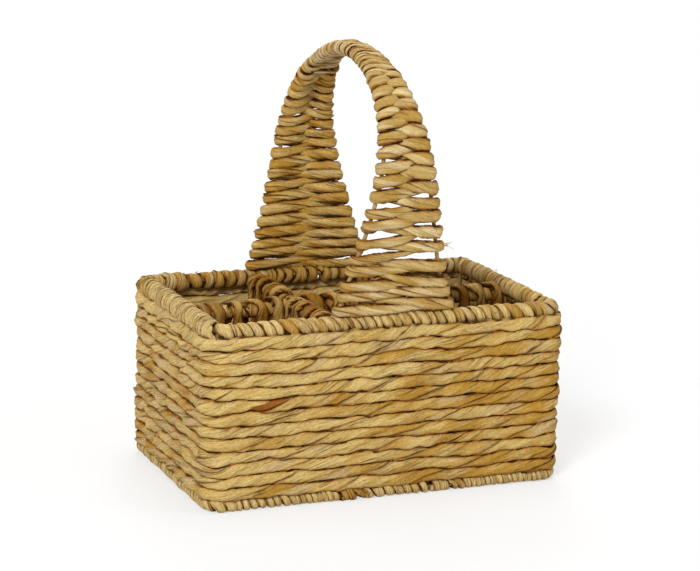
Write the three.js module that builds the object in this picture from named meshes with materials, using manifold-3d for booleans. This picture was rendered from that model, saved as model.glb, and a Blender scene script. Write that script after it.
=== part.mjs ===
import * as THREE from "three";
import Module from "manifold-3d";

// A water hyacinth bottle basket: strands of dried stem laid and wound on a wire frame.
// Millimetres, +Z up, origin on the floor under the middle. X runs along the basket, and -Y is
// its front.

// Overall size, taken over the wall strands
const LENGTH = 300;
const WIDTH = 192;
const CORNER_RADIUS = 17;
const RIM_TOP = 145;
const HANDLE_TOP = 344;

// Clearance left between pieces that touch, and round the wires inside the two wraps
const FIT_GAP = 0.3;

// Wire frame
const WIRE = 3.2;
const WIRE_SIDES = 6;
const HOOP_CORNER_STEPS = 4;
const CROSS_DIVIDER_X = 48;
const FLOOR_ROD_X = [-100, -32, 32, 100];

// Wall courses: each strand is taller than it is deep, and its two ends meet at the back
const COURSE_COUNT = 13;
const COURSE_PITCH = 9.8;
const COURSE_DEPTH = 7.6;
const COURSE_BOTTOM = 8;
const COURSE_SIDES = 8;
const COURSE_CORNER_STEPS = 3;
const COURSE_END_GAP = 0.8;
const COURSE_SEAM_STEP = 37;
const COURSE_SEAM_REACH = 90;

// Rim and base wraps: the turns show as ribs
const RIM_WRAP = 12.4;
const RIM_TURNS = 64;
const BASE_WRAP = 9.4;
const BASE_WRAP_INSET = 8;
const BASE_TURNS = 30;
const WRAP_VALLEY = 0.76;
const WRAP_SIDES = 6;
const BASE_FLAT = 0.5;

// Strand wound on two wires, four stations round each. Knuckles are its thicker bends.
const WINDING_SIDES = 5;
const END_STATIONS = 4;
const WINDING_CLEARANCE = 0.6;
const LEAST_SELF_GAP = 0.4;
const GAP_SAMPLES = 6;

// Dividers, woven in a figure of eight between a top and a bottom rod
const DIVIDER_STRAND = { wide: 6.8, thick: 4.6, knuckle: 1 };
const DIVIDER_TURNS = 5;
const CROSS_ROD_TOP = 136.6;
const CROSS_ROD_BOTTOM = 27;
const ROD_STEP = WIRE + FIT_GAP;
const CROSSING_HALF = 8;

// Floor
const FLOOR_STRAND = { wide: 10, thick: 6.5 };
const FLOOR_RUNS = 14;
const FLOOR_PITCH = 12;
const FLOOR_TURN_STEPS = 3;
const FLOOR_SIDES = 6;

// Handle: two rails that bow out above the rim and meet an elliptic top, wide apart at their feet
// and close at the grip. The legs are woven in a figure of eight, the grip is plainly wound.
const SHOULDER_HEIGHT = 252;
const HANDLE_BOW = 16.5;
const RAIL_GRIP_HALF = 5.8;
const RAIL_TAPER = 1.85;
const HANDLE_SWAY = 3;
const RAIL_STEPS = 34;
const RAIL_FOOT_GAP = 0.9;
const LEG_STRAND = { wide: 5.2, thick: 4.2, knuckle: 1.5 };
const FRONT_LEG_TURNS = 21;
const REAR_LEG_TURNS = 15;
const GRIP_STRAND = { wide: 4.2, thick: 4, knuckle: 1 };
const GRIP_TURNS = 13;
const GRIP_LENGTH = 78;
const RUN_SHARE = 0.3;

const STRAW = "#c6a262";
const PALE_STRAW = "#d2b47c";
const TAN_WIRE = "#b98a4e";

const frameInset = COURSE_DEPTH + FIT_GAP + WIRE / 2;
const wrapFlat = Math.cos(Math.PI / WRAP_SIDES);
const rimZ = RIM_TOP - (RIM_WRAP / 2) * wrapFlat;
const baseZ = (BASE_WRAP / 2) * wrapFlat - BASE_FLAT;
const baseTop = BASE_WRAP * wrapFlat - BASE_FLAT;
const frameX = LENGTH / 2 - frameInset;
const frameY = WIDTH / 2 - frameInset;
const rimInnerX = LENGTH / 2 - frameInset - RIM_WRAP / 2 - FIT_GAP;
const rimInnerY = WIDTH / 2 - frameInset - RIM_WRAP / 2 - FIT_GAP;
const X = new THREE.Vector3(1, 0, 0);
const Y = new THREE.Vector3(0, 1, 0);
const Z = new THREE.Vector3(0, 0, 1);

const wasm = await Module();
wasm.setup();

const basket = new THREE.Group();

function add(name, geometry, colour) {
  geometry.computeVertexNormals();
  const mesh = new THREE.Mesh(geometry, new THREE.MeshStandardMaterial({ color: colour, roughness: 0.85 }));
  mesh.name = name;
  basket.add(mesh);
}

// A station is a point on a strand with the direction of its outer side
function station(point, out) {
  return { point, out };
}

// Carries an oval section along stations. size(i) gives its thickness and its width there.
function sweep(stations, closed, sides, size) {
  const count = stations.length;
  const positions = [];
  const index = [];
  stations.forEach(({ point, out }, i) => {
    const before = stations[closed ? (i + count - 1) % count : Math.max(i - 1, 0)].point;
    const after = stations[closed ? (i + 1) % count : Math.min(i + 1, count - 1)].point;
    const along = after.clone().sub(before).normalize();
    const side = along.clone().cross(out).normalize();
    const outer = side.clone().cross(along).normalize();
    const [thick, wide] = size(i);
    for (let j = 0; j < sides; j++) {
      const angle = (j / sides) * 2 * Math.PI;
      const p = point.clone()
        .addScaledVector(outer, (thick / 2) * Math.cos(angle))
        .addScaledVector(side, (wide / 2) * Math.sin(angle));
      positions.push(p.x, p.y, p.z);
    }
  });
  const lastRing = closed ? count : count - 1;
  for (let i = 0; i < lastRing; i++) {
    const next = (i + 1) % count;
    for (let j = 0; j < sides; j++) {
      const k = (j + 1) % sides;
      index.push(i * sides + j, i * sides + k, next * sides + j);
      index.push(i * sides + k, next * sides + k, next * sides + j);
    }
  }
  if (!closed) {
    for (let j = 1; j < sides - 1; j++) {
      const end = (count - 1) * sides;
      index.push(0, j + 1, j);
      index.push(end, end + j, end + j + 1);
    }
  }
  const geometry = new THREE.BufferGeometry();
  geometry.setAttribute("position", new THREE.Float32BufferAttribute(positions, 3));
  geometry.setIndex(index);
  return geometry;
}

function toSolid(geometry) {
  const mesh = new wasm.Mesh({
    numProp: 3,
    vertProperties: new Float32Array(geometry.getAttribute("position").array),
    triVerts: new Uint32Array(geometry.getIndex().array),
  });
  return new wasm.Manifold(mesh);
}

function toGeometry(solid) {
  const mesh = solid.getMesh();
  const geometry = new THREE.BufferGeometry();
  geometry.setAttribute("position", new THREE.Float32BufferAttribute(Array.from(mesh.vertProperties), 3));
  geometry.setIndex(Array.from(mesh.triVerts));
  return geometry;
}

// A lap round the basket at a given inset from its outer face, counterclockwise from the left end
// of the front wall
function makeLap(inset) {
  const radius = CORNER_RADIUS - inset;
  const arc = (radius * Math.PI) / 2;
  const walls = [0, 1, 2, 3].map((i) => {
    const heading = [X, Y, X.clone().negate(), Y.clone().negate()][i];
    const normal = heading.clone().cross(Z);
    const full = i % 2 === 0 ? LENGTH : WIDTH;
    const across = i % 2 === 0 ? WIDTH : LENGTH;
    return { heading, normal, run: full - 2 * CORNER_RADIUS, reach: across / 2 - inset };
  });
  const starts = [];
  let length = 0;
  for (const wall of walls) {
    starts.push(length);
    length += wall.run + arc;
  }
  const at = (distance, z) => {
    const d = ((distance % length) + length) % length;
    const i = starts.findLastIndex((start) => start <= d);
    const { heading, normal, run, reach } = walls[i];
    const gone = d - starts[i];
    if (gone <= run) {
      const flat = normal.clone().multiplyScalar(reach).addScaledVector(heading, gone - run / 2);
      return station(flat.setZ(z), normal.clone());
    }
    const turn = (gone - run) / radius;
    const out = normal.clone().multiplyScalar(Math.cos(turn)).addScaledVector(heading, Math.sin(turn));
    const corner = normal.clone().multiplyScalar(reach - radius).addScaledVector(heading, run / 2);
    return station(corner.addScaledVector(out, radius).setZ(z), out);
  };
  const corners = (steps) => starts.flatMap((start, i) =>
    Array.from({ length: steps + 1 }, (_, k) => start + walls[i].run + (arc * k) / steps));
  return { length, at, corners, middle: (i) => starts[i] + walls[i].run / 2 };
}

// The bent and cut wires of the frame
function frameWires() {
  const wires = [];
  const hoop = (name, inset, z) => {
    const lap = makeLap(inset);
    wires.push({ name, closed: true, stations: lap.corners(HOOP_CORNER_STEPS).map((d) => lap.at(d, z)) });
  };
  const rod = (name, from, to, out) => wires.push({
    name, closed: false, stations: [station(from, out), station(to, out)],
  });
  hoop("rim_hoop", frameInset, rimZ);
  hoop("base_hoop", BASE_WRAP_INSET, baseZ);

  const upright = (name, x, y) => rod(
    name,
    new THREE.Vector3(x, y, baseZ + WIRE / 2 + FIT_GAP),
    new THREE.Vector3(x, y, rimZ - WIRE / 2 - FIT_GAP),
    X,
  );
  const bend = (CORNER_RADIUS - frameInset) * (1 - Math.SQRT1_2);
  for (const [endName, sx] of [["left", -1], ["right", 1]]) {
    for (const [sideName, sy] of [["front", -1], ["rear", 1]]) {
      upright(`corner_upright_${sideName}_${endName}`, sx * (frameX - bend), sy * (frameY - bend));
      upright(`side_upright_${sideName}_${endName}`, sx * CROSS_DIVIDER_X, sy * frameY);
    }
    upright(`end_upright_${endName}`, sx * frameX, 0);

    const reachY = frameY - WIRE / 2 - FIT_GAP;
    const crossRod = (name, z) => rod(
      name,
      new THREE.Vector3(sx * CROSS_DIVIDER_X, -reachY, z),
      new THREE.Vector3(sx * CROSS_DIVIDER_X, reachY, z),
      Z,
    );
    crossRod(`cross_rod_top_${endName}`, CROSS_ROD_TOP);
    crossRod(`cross_rod_bottom_${endName}`, CROSS_ROD_BOTTOM);
    wires.push({ name: `handle_rail_${endName}`, closed: false, stations: railStations(sx) });
  }

  const reachX = frameX - WIRE / 2 - FIT_GAP;
  const longRod = (name, z) => rod(
    name, new THREE.Vector3(-reachX, 0, z), new THREE.Vector3(reachX, 0, z), Z,
  );
  longRod("long_rod_top", CROSS_ROD_TOP - ROD_STEP);
  longRod("long_rod_bottom", CROSS_ROD_BOTTOM + ROD_STEP);

  const floorReach = WIDTH / 2 - COURSE_DEPTH - FIT_GAP;
  const floorRodZ = baseTop + FIT_GAP + WIRE / 2;
  FLOOR_ROD_X.forEach((x, i) => rod(
    `floor_rod_${i + 1}`,
    new THREE.Vector3(x, -floorReach, floorRodZ),
    new THREE.Vector3(x, floorReach, floorRodZ),
    Z,
  ));
  return wires;
}

// Centre line of the handle: a bowed leg, half an ellipse and a bowed leg
class HandleArch extends THREE.Curve {
  constructor() {
    super();
    this.foot = rimZ + WIRE / 2 + RAIL_FOOT_GAP;
    this.apex = HANDLE_TOP - bendRadius(LEG_STRAND) - LEG_STRAND.thick / 2;
    this.arcLengthDivisions = 600;
  }
  getPoint(t) {
    const shoulder = frameY + HANDLE_BOW;
    const leg = Math.min(t, 1 - t) * 3;
    if (leg < 1) {
      const y = frameY + HANDLE_BOW * Math.sin((leg * Math.PI) / 2) ** 2;
      const z = THREE.MathUtils.lerp(this.foot, SHOULDER_HEIGHT, leg);
      return new THREE.Vector3(0, t < 0.5 ? -y : y, z);
    }
    const angle = (t * 3 - 1) * Math.PI;
    const rise = this.apex - SHOULDER_HEIGHT;
    return new THREE.Vector3(0, -shoulder * Math.cos(angle), SHOULDER_HEIGHT + rise * Math.sin(angle));
  }
}
const arch = new HandleArch();
const archLength = arch.getLength();

// Place on the handle at a distance along it: centre, outward direction and half rail spacing
function handleAt(distance) {
  const u = THREE.MathUtils.clamp(distance / archLength, 0, 1);
  const centre = arch.getPointAt(u);
  const along = arch.getTangentAt(u);
  const climb = 1 - Math.abs(2 * u - 1);
  centre.x = HANDLE_SWAY * Math.sin(Math.PI * climb);
  const half = RAIL_GRIP_HALF + (CROSS_DIVIDER_X - RAIL_GRIP_HALF) * (1 - climb) ** RAIL_TAPER;
  return { centre, out: along.clone().cross(X).negate(), half };
}

function railStations(side) {
  return Array.from({ length: RAIL_STEPS + 1 }, (_, i) => {
    const { centre, out, half } = handleAt((archLength * i) / RAIL_STEPS);
    return station(centre.addScaledVector(X, side * half), out);
  });
}

// Least gap between one pass of a winding and the next, over points spread along its surface
function reportSelfGap(name, geometry, stationsPerTurn, sides) {
  const at = geometry.getAttribute("position");
  const points = [];
  for (let i = 0; i + sides < at.count; i++) {
    const from = new THREE.Vector3().fromBufferAttribute(at, i);
    const to = new THREE.Vector3().fromBufferAttribute(at, i + sides);
    for (let k = 0; k < GAP_SAMPLES; k++) points.push(from.clone().lerp(to, k / GAP_SAMPLES));
  }
  const apart = Math.floor(stationsPerTurn * 0.5) * sides * GAP_SAMPLES;
  let least = Infinity;
  for (let i = 0; i < points.length; i++) {
    for (let j = i + apart; j < points.length; j++) {
      least = Math.min(least, points[i].distanceToSquared(points[j]));
    }
  }
  const gap = Math.sqrt(least);
  console.log(`${name}: least gap to itself ${gap.toFixed(2)} mm`);
  if (gap < LEAST_SELF_GAP) throw new Error(`${name} touches itself`);
}

// Distance from a wire's middle to the middle of a strand that bends round it in straight steps
function bendRadius(strand) {
  const clear = WIRE / 2 + WINDING_CLEARANCE + (strand.thick * strand.knuckle) / 2;
  return clear / Math.cos(Math.PI / (2 * (END_STATIONS - 1)));
}

function addWinding(name, stations, strand) {
  const size = (i) => {
    const swell = stations[i].knuckle ? strand.knuckle : 1;
    return [strand.thick * swell, strand.wide * swell];
  };
  const geometry = sweep(stations, false, WINDING_SIDES, size);
  reportSelfGap(name, geometry, 2 * END_STATIONS, WINDING_SIDES);
  add(name, geometry, STRAW);
}

// A strand on both rails, from one distance along the handle to another. It comes from behind the
// left rail to the front. In a figure of eight it crosses to the back of the right rail and comes
// round to the front again, and otherwise it crosses in front and goes back behind.
function wrapHandle(name, from, to, turns, strand, eight) {
  const radius = bendRadius(strand);
  const pitch = (to - from) / (turns - RUN_SHARE);
  const endStep = (pitch * (0.5 - RUN_SHARE)) / (END_STATIONS - 1);
  const stations = [];
  for (let turn = 0; turn < turns; turn++) {
    for (const side of [-1, 1]) {
      const begin = from + pitch * (turn + (side < 0 ? 0 : 0.5));
      const forward = side < 0 || eight ? 1 : -1;
      for (let k = 0; k < END_STATIONS; k++) {
        const place = handleAt(begin + endStep * k);
        const swing = Math.PI * (k / (END_STATIONS - 1) - 0.5);
        const out = X.clone().multiplyScalar(side * Math.cos(swing))
          .addScaledVector(place.out, forward * Math.sin(swing));
        const point = place.centre.addScaledVector(X, side * place.half).addScaledVector(out, radius);
        const knuckle = k > 0 && k < END_STATIONS - 1;
        const face = eight && side > 0 ? out.negate() : out;
        stations.push({ ...station(point, face), knuckle });
      }
    }
  }
  addWinding(name, stations, strand);
}

// A strand woven on a divider's two rods in upright runs, from the front of each rod to the back of
// the other
function wrapDivider(name, along, across, middle, from, to, top, bottom) {
  const radius = bendRadius(DIVIDER_STRAND);
  const pitch = (to - from - DIVIDER_STRAND.wide) / (DIVIDER_TURNS - 0.5);
  const stations = [];
  const put = (angle, travel, height) => {
    const out = across.clone().multiplyScalar(Math.cos(angle)).addScaledVector(Z, Math.sin(angle));
    const point = middle.clone().addScaledVector(along, from + DIVIDER_STRAND.wide / 2 + travel);
    point.setZ(height).addScaledVector(out, radius);
    stations.push(station(point, height === top ? out : out.negate()));
  };
  put(Math.PI, 0, bottom);
  for (let turn = 0; turn < DIVIDER_TURNS; turn++) {
    for (let k = 0; k < END_STATIONS; k++) {
      const swing = k / (END_STATIONS - 1);
      put(Math.PI * swing, pitch * (turn + swing / 2), top);
    }
    const last = turn === DIVIDER_TURNS - 1;
    for (let k = 0; k < (last ? 1 : END_STATIONS); k++) {
      const swing = k / (END_STATIONS - 1);
      put(-Math.PI * swing, pitch * (turn + 0.5 + swing / 2), bottom);
    }
  }
  addWinding(name, stations, DIVIDER_STRAND);
}

// One wall strand, laid once round, its ends meeting at the back behind no other course's ends
function addCourse(level) {
  const lap = makeLap(COURSE_DEPTH / 2);
  const z = COURSE_BOTTOM + COURSE_PITCH * (level + 0.5);
  const seamShift = ((level * COURSE_SEAM_STEP) % (2 * COURSE_SEAM_REACH)) - COURSE_SEAM_REACH;
  const seam = lap.middle(2) + seamShift;
  const bends = lap.corners(COURSE_CORNER_STEPS).map((d) => (d < seam ? d + lap.length : d));
  const ends = [seam + COURSE_END_GAP / 2, seam + lap.length - COURSE_END_GAP / 2];
  const places = [...ends, ...bends].sort((a, b) => a - b);
  const stations = places.map((d) => lap.at(d, z));
  const size = () => [COURSE_DEPTH, COURSE_PITCH - FIT_GAP];
  const name = `wall_course_${String(level + 1).padStart(2, "0")}`;
  add(name, sweep(stations, false, COURSE_SIDES, size), STRAW);
}

// A strand wound tightly round a hoop: a ribbed ring, bored for the wires that run into it
function wrapSolid(inset, z, diameter, turns) {
  const lap = makeLap(inset);
  const stations = Array.from({ length: 2 * turns }, (_, i) => lap.at((lap.length * i) / (2 * turns), z));
  const size = (i) => {
    const d = i % 2 === 0 ? diameter : diameter * WRAP_VALLEY;
    return [d, d];
  };
  return toSolid(sweep(stations, true, WRAP_SIDES, size));
}

// The room that a wire needs inside a wrap: wider all round, and longer at each cut end
function boreSolid({ stations, closed }) {
  const room = stations.map(({ point, out }) => station(point.clone(), out));
  if (!closed) {
    const ends = [[room[0], room[1]], [room[room.length - 1], room[room.length - 2]]];
    for (const [end, inner] of ends) {
      const outward = end.point.clone().sub(inner.point).normalize();
      end.point.addScaledVector(outward, FIT_GAP);
    }
  }
  return toSolid(sweep(room, closed, WIRE_SIDES, () => [WIRE + 2 * FIT_GAP, WIRE + 2 * FIT_GAP]));
}

function addWraps(wires) {
  const bores = wires.map(boreSolid);
  const frame = wasm.Manifold.union(bores);
  const rim = wrapSolid(frameInset, rimZ, RIM_WRAP, RIM_TURNS).subtract(frame);
  add("rim_wrap", toGeometry(rim), PALE_STRAW);
  const base = wrapSolid(BASE_WRAP_INSET, baseZ, BASE_WRAP, BASE_TURNS).subtract(frame);
  add("base_wrap", toGeometry(base.trimByPlane([0, 0, 1], 0)), PALE_STRAW);
}

// The floor strand: runs along the basket, joined by half turns at alternate ends
function addFloor() {
  const runHalf = frameX - WIRE / 2 - FIT_GAP - (FLOOR_STRAND.wide + FLOOR_PITCH) / 2;
  const z = baseTop + 2 * FIT_GAP + WIRE + FLOOR_STRAND.thick / 2;
  const stations = [];
  for (let run = 0; run < FLOOR_RUNS; run++) {
    const heading = run % 2 === 0 ? 1 : -1;
    const y = FLOOR_PITCH * (run - (FLOOR_RUNS - 1) / 2);
    if (run === 0) stations.push(station(new THREE.Vector3(-heading * runHalf, y, z), Z));
    const last = run === FLOOR_RUNS - 1;
    for (let k = 0; k <= (last ? 0 : FLOOR_TURN_STEPS); k++) {
      const swing = (Math.PI * k) / FLOOR_TURN_STEPS;
      const reach = runHalf + (FLOOR_PITCH / 2) * Math.sin(swing);
      const turnY = y + (FLOOR_PITCH / 2) * (1 - Math.cos(swing));
      stations.push(station(new THREE.Vector3(heading * reach, turnY, z), Z));
    }
  }
  const geometry = sweep(stations, false, FLOOR_SIDES, () => [FLOOR_STRAND.thick, FLOOR_STRAND.wide]);
  reportSelfGap("floor_strand", geometry, 2 * (FLOOR_TURN_STEPS + 1), FLOOR_SIDES);
  add("floor_strand", geometry, STRAW);
}

function addDividers() {
  const longSpans = [
    ["left", -rimInnerX, -CROSS_DIVIDER_X - CROSSING_HALF],
    ["middle", -CROSS_DIVIDER_X + CROSSING_HALF, CROSS_DIVIDER_X - CROSSING_HALF],
    ["right", CROSS_DIVIDER_X + CROSSING_HALF, rimInnerX],
  ];
  for (const [place, from, to] of longSpans) {
    wrapDivider(`long_divider_${place}`, X, Y, new THREE.Vector3(), from, to,
      CROSS_ROD_TOP - ROD_STEP, CROSS_ROD_BOTTOM + ROD_STEP);
  }
  for (const [endName, sx] of [["left", -1], ["right", 1]]) {
    const middle = new THREE.Vector3(sx * CROSS_DIVIDER_X, 0, 0);
    wrapDivider(`cross_divider_front_${endName}`, Y, X, middle, -rimInnerY, -CROSSING_HALF,
      CROSS_ROD_TOP, CROSS_ROD_BOTTOM);
    wrapDivider(`cross_divider_rear_${endName}`, Y, X, middle, CROSSING_HALF, rimInnerY,
      CROSS_ROD_TOP, CROSS_ROD_BOTTOM);
  }
}

function addHandle() {
  const start = RIM_TOP - arch.foot + FIT_GAP + (LEG_STRAND.wide * LEG_STRAND.knuckle) / 2;
  const middle = archLength / 2;
  const between = (LEG_STRAND.wide * LEG_STRAND.knuckle + GRIP_STRAND.wide) / 2 + FIT_GAP;
  const gripEnd = middle + GRIP_LENGTH;
  wrapHandle("front_leg_winding", start, middle, FRONT_LEG_TURNS, LEG_STRAND, true);
  wrapHandle("grip_winding", middle + between, gripEnd - between, GRIP_TURNS, GRIP_STRAND, false);
  wrapHandle("rear_leg_winding", gripEnd, archLength - start, REAR_LEG_TURNS, LEG_STRAND, true);
}

const wires = frameWires();
for (const { name, stations, closed } of wires) {
  add(name, sweep(stations, closed, WIRE_SIDES, () => [WIRE, WIRE]), TAN_WIRE);
}
for (let level = 0; level < COURSE_COUNT; level++) addCourse(level);
addWraps(wires);
addFloor();
addDividers();
addHandle();

export default basket;
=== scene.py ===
import math
import bpy
import numpy as np
from mathutils import Matrix, Vector


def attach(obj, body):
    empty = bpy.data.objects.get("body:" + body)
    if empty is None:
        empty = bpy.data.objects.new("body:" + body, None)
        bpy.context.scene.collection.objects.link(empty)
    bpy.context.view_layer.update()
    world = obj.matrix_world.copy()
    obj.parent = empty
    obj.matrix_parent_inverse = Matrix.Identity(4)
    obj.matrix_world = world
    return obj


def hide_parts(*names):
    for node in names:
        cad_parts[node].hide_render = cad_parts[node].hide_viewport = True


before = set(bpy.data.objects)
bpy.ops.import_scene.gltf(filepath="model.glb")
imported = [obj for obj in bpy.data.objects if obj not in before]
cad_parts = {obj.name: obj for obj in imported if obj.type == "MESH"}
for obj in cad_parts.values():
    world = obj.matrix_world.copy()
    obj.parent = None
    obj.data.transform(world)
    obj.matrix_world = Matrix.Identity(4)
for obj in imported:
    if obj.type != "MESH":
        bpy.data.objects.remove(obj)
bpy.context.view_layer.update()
scene = bpy.context.scene
scene.view_settings.view_transform = "Standard"
bpy.ops.object.select_all(action="DESELECT")
mm = 0.001
print("frame loaded:", len(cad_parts), "solids")

# The basket's own sizes, in millimetres, as in the solids
basket = {
    "length": 300.0, "width": 192.0, "corner": 17.0,
    "rimZ": 139.63, "baseZ": 3.57, "baseTop": 7.64,
    "wire": 3.2, "fit": 0.3, "frameInset": 9.5, "baseInset": 8.0,
    "crossX": 48.0, "crossRodTop": 136.6, "crossRodBottom": 27.0,
    "floorRodX": (-100, -32, 32, 100), "floorRodInset": 7.9,
}
frameX = basket["length"] / 2 - basket["frameInset"]
frameY = basket["width"] / 2 - basket["frameInset"]
axisX, axisY, axisZ = np.eye(3)


# Camera, fitted to the rim, the base and the uprights' corners
camera = {
    "place": (-0.7186, -1.7490, 0.5709),
    "yaw": 22.411, "pitch": -12.608, "roll": 1.382,
    "focalPixels": 2430.4, "frameWide": 700, "sensor": 36, "clipEnd": 50,
}


def makeCamera():
    yaw, pitch, roll = (math.radians(camera[k]) for k in ("yaw", "pitch", "roll"))
    level = math.cos(pitch)
    forward = np.array([math.sin(yaw) * level, math.cos(yaw) * level, math.sin(pitch)])
    right = np.array([math.cos(yaw), -math.sin(yaw), 0.0])
    up = np.cross(right, forward)
    rightRolled = math.cos(roll) * right + math.sin(roll) * up
    upRolled = -math.sin(roll) * right + math.cos(roll) * up
    bpy.ops.object.camera_add(location=camera["place"])
    eye = bpy.context.object
    turn = Matrix([list(v) for v in np.stack([rightRolled, upRolled, -forward], 1)])
    eye.matrix_world = Matrix.Translation(camera["place"]) @ turn.to_4x4()
    eye.data.sensor_width = camera["sensor"]
    eye.data.lens = camera["sensor"] * camera["focalPixels"] / camera["frameWide"]
    eye.data.clip_end = camera["clipEnd"]
    scene.camera = eye


makeCamera()
print("camera set")


# Shader tools
class NodeBench:
    def __init__(self, tree):
        self.tree = tree

    def make(self, kind, **settings):
        made = self.tree.nodes.new(kind)
        for key, value in settings.items():
            setattr(made, key, value)
        return made

    def join(self, value, socket):  # links another socket, or sets a constant
        if isinstance(value, bpy.types.NodeSocket):
            self.tree.links.new(value, socket)
        else:
            socket.default_value = value

    def fed(self, made, sockets, values):
        for socket, value in zip(sockets, values):
            self.join(value, made.inputs[socket])
        return made

    def math(self, operation, first, second):
        made = self.make("ShaderNodeMath", operation=operation)
        return self.fed(made, (0, 1), (first, second)).outputs[0]

    def scaled(self, vector, scale, shift):
        made = self.make("ShaderNodeVectorMath", operation="MULTIPLY_ADD")
        return self.fed(made, (0, 1, 2), (vector, scale, shift)).outputs[0]

    def noise(self, vector, detail, roughness=0.5):
        made = self.make("ShaderNodeTexNoise")
        self.fed(made, ("Vector", "Scale", "Detail", "Roughness"), (vector, 1, detail, roughness))
        return made.outputs["Fac"]

    def span(self, value, low, high, toLow=0.0, toHigh=1.0):
        made = self.make("ShaderNodeMapRange", interpolation_type="SMOOTHSTEP")
        sockets = ("Value", "From Min", "From Max", "To Min", "To Max")
        return self.fed(made, sockets, (value, low, high, toLow, toHigh)).outputs["Result"]

    def mix(self, share, first, second, blend="MIX"):
        made = self.make("ShaderNodeMix", data_type="RGBA", blend_type=blend)
        return self.fed(made, (0, 6, 7), (share, first, second)).outputs[2]

    def blend(self, share, first, second):  # between two shaders
        made = self.make("ShaderNodeMixShader")
        return self.fed(made, (0, 1, 2), (share, first.outputs[0], second.outputs[0])).outputs[0]

    def bump(self, height, strength, distance):
        made = self.make("ShaderNodeBump")
        return self.fed(made, ("Height", "Strength", "Distance"), (height, strength, distance)).outputs["Normal"]


def newMaterial(name):
    material = bpy.data.materials.new(name)
    material.use_nodes = True
    return material, NodeBench(material.node_tree), material.node_tree.nodes["Principled BSDF"]


# Studio: soft lamps, a white world behind and a pale floor
studio = {
    "worldLight": 0.32, "aim": (0, 0, 0.12),
    "floorSize": 8.0, "floorTone": (0.88, 0.88, 0.88, 1), "floorRough": 0.9, "floorShine": 0.1,
    "floorFade": (0.40, 1.2), "floorGlow": 0.55,
    "lamps": [
        # name, place, size, watts
        ("keyLamp", (-1.95, -2.25, 2.3), 1.1, 96),
        ("fillLamp", (2.2, -1.5, 1.5), 1.8, 14),
        ("topLamp", (0.2, 0.3, 2.8), 1.8, 20),
        ("rearLamp", (0.9, 2.6, 1.7), 1.8, 34),
    ],
}


def seenDirectly(bench):  # one where the camera, a reflection or a see-through surface looks straight at it
    path = bench.make("ShaderNodeLightPath").outputs
    mirrored = bench.math("MAXIMUM", path["Is Camera Ray"], path["Is Glossy Ray"])
    return bench.math("MAXIMUM", mirrored, path["Is Transmission Ray"])


def makeWorld():
    world = bpy.data.worlds.new("studioWorld")
    scene.world = world
    world.use_nodes = True
    world.node_tree.nodes.clear()
    bench = NodeBench(world.node_tree)
    lit, white = (bench.make("ShaderNodeBackground") for _ in range(2))
    lit.inputs["Strength"].default_value = studio["worldLight"]
    for backdrop in (lit, white):
        backdrop.inputs["Color"].default_value = (1, 1, 1, 1)
    out = bench.make("ShaderNodeOutputWorld")
    bench.join(bench.blend(seenDirectly(bench), lit, white), out.inputs["Surface"])


def makeFloor():
    bpy.ops.mesh.primitive_plane_add(size=studio["floorSize"], location=(0, 0, 0))
    floor = bpy.context.object
    floor.name = "studioFloor"
    paper, bench, body = newMaterial("floorPaper")
    bench.fed(body, ("Base Color", "Roughness", "Specular IOR Level"),
              (studio["floorTone"], studio["floorRough"], studio["floorShine"]))
    reach = bench.make("ShaderNodeVectorMath", operation="LENGTH")
    bench.join(bench.make("ShaderNodeTexCoord").outputs["Object"], reach.inputs[0])
    fade = bench.span(reach.outputs["Value"], *studio["floorFade"], studio["floorGlow"])
    share = bench.math("MULTIPLY", fade, seenDirectly(bench))
    out = paper.node_tree.nodes["Material Output"]
    bench.join(bench.blend(share, body, bench.make("ShaderNodeEmission")), out.inputs["Surface"])
    floor.data.materials.append(paper)


def makeLamps():
    for name, place, size, watts in studio["lamps"]:
        bpy.ops.object.light_add(type="AREA", location=place)
        lamp = bpy.context.object
        lamp.name = name
        lamp.data.shape = "DISK"
        lamp.data.size = size
        lamp.data.energy = watts
        aim = Vector(studio["aim"]) - Vector(place)
        lamp.rotation_euler = aim.to_track_quat("-Z", "Y").to_euler()


makeWorld()
makeFloor()
makeLamps()
print("studio set")


# Materials. Each strand's mesh carries lay (round the stem and along it, in millimetres), its painted shade (dark
# lines in its creases and between strands, and brown shade towards its edges), and shade, ash and stain for its
# colour.
stemTones = {
    "wall": {"golden": (0.456, 0.256, 0.044), "pale": (0.640, 0.466, 0.178), "grey": (0.545, 0.395, 0.19),
             "brown": (0.15, 0.052, 0.006), "age": 0.8, "grain": 0.95, "bump": 0.7},
    "wrap": {"golden": (0.43, 0.25, 0.055), "pale": (0.635, 0.475, 0.205), "grey": (0.55, 0.41, 0.22),
             "brown": (0.15, 0.054, 0.009), "age": 0.85, "grain": 1.1, "bump": 0.8},
    "leg": {"golden": (0.435, 0.27, 0.067), "pale": (0.70, 0.56, 0.295), "grey": (0.585, 0.445, 0.24),
            "brown": (0.15, 0.054, 0.008), "age": 0.8, "grain": 0.6, "bump": 0.5},
    "grip": {"golden": (0.445, 0.287, 0.092), "pale": (0.655, 0.515, 0.275), "grey": (0.575, 0.45, 0.27),
             "brown": (0.13, 0.048, 0.009), "age": 0.9, "grain": 0.9, "bump": 0.75},
    # painted shade: the floor and dividers inside the basket are the same stems drawn darker
    "inner": {"golden": (0.280, 0.122, 0.013), "pale": (0.52, 0.335, 0.098), "grey": (0.40, 0.265, 0.105),
              "brown": (0.11, 0.040, 0.007), "age": 0.9, "grain": 1.0, "bump": 0.75},
    # painted shade: the near-black of creases and of the lines between strands, and the brown that shade gives
    # towards a strand's edges
    "creaseShadeTone": (0.036, 0.0065, 0.0006), "rust": (0.29, 0.078, 0.005), "warmth": (0.55, 0.29, 0.04),
    "roughness": (0.55, 0.78), "bumpDepth": 0.0005, "specular": 0.06,
}
wireTones = {"dark": (0.36, 0.21, 0.055, 1), "light": (0.52, 0.33, 0.10, 1), "roughness": (0.38, 0.6),
             "bump": 0.2, "bumpDepth": 0.0002}


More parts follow.
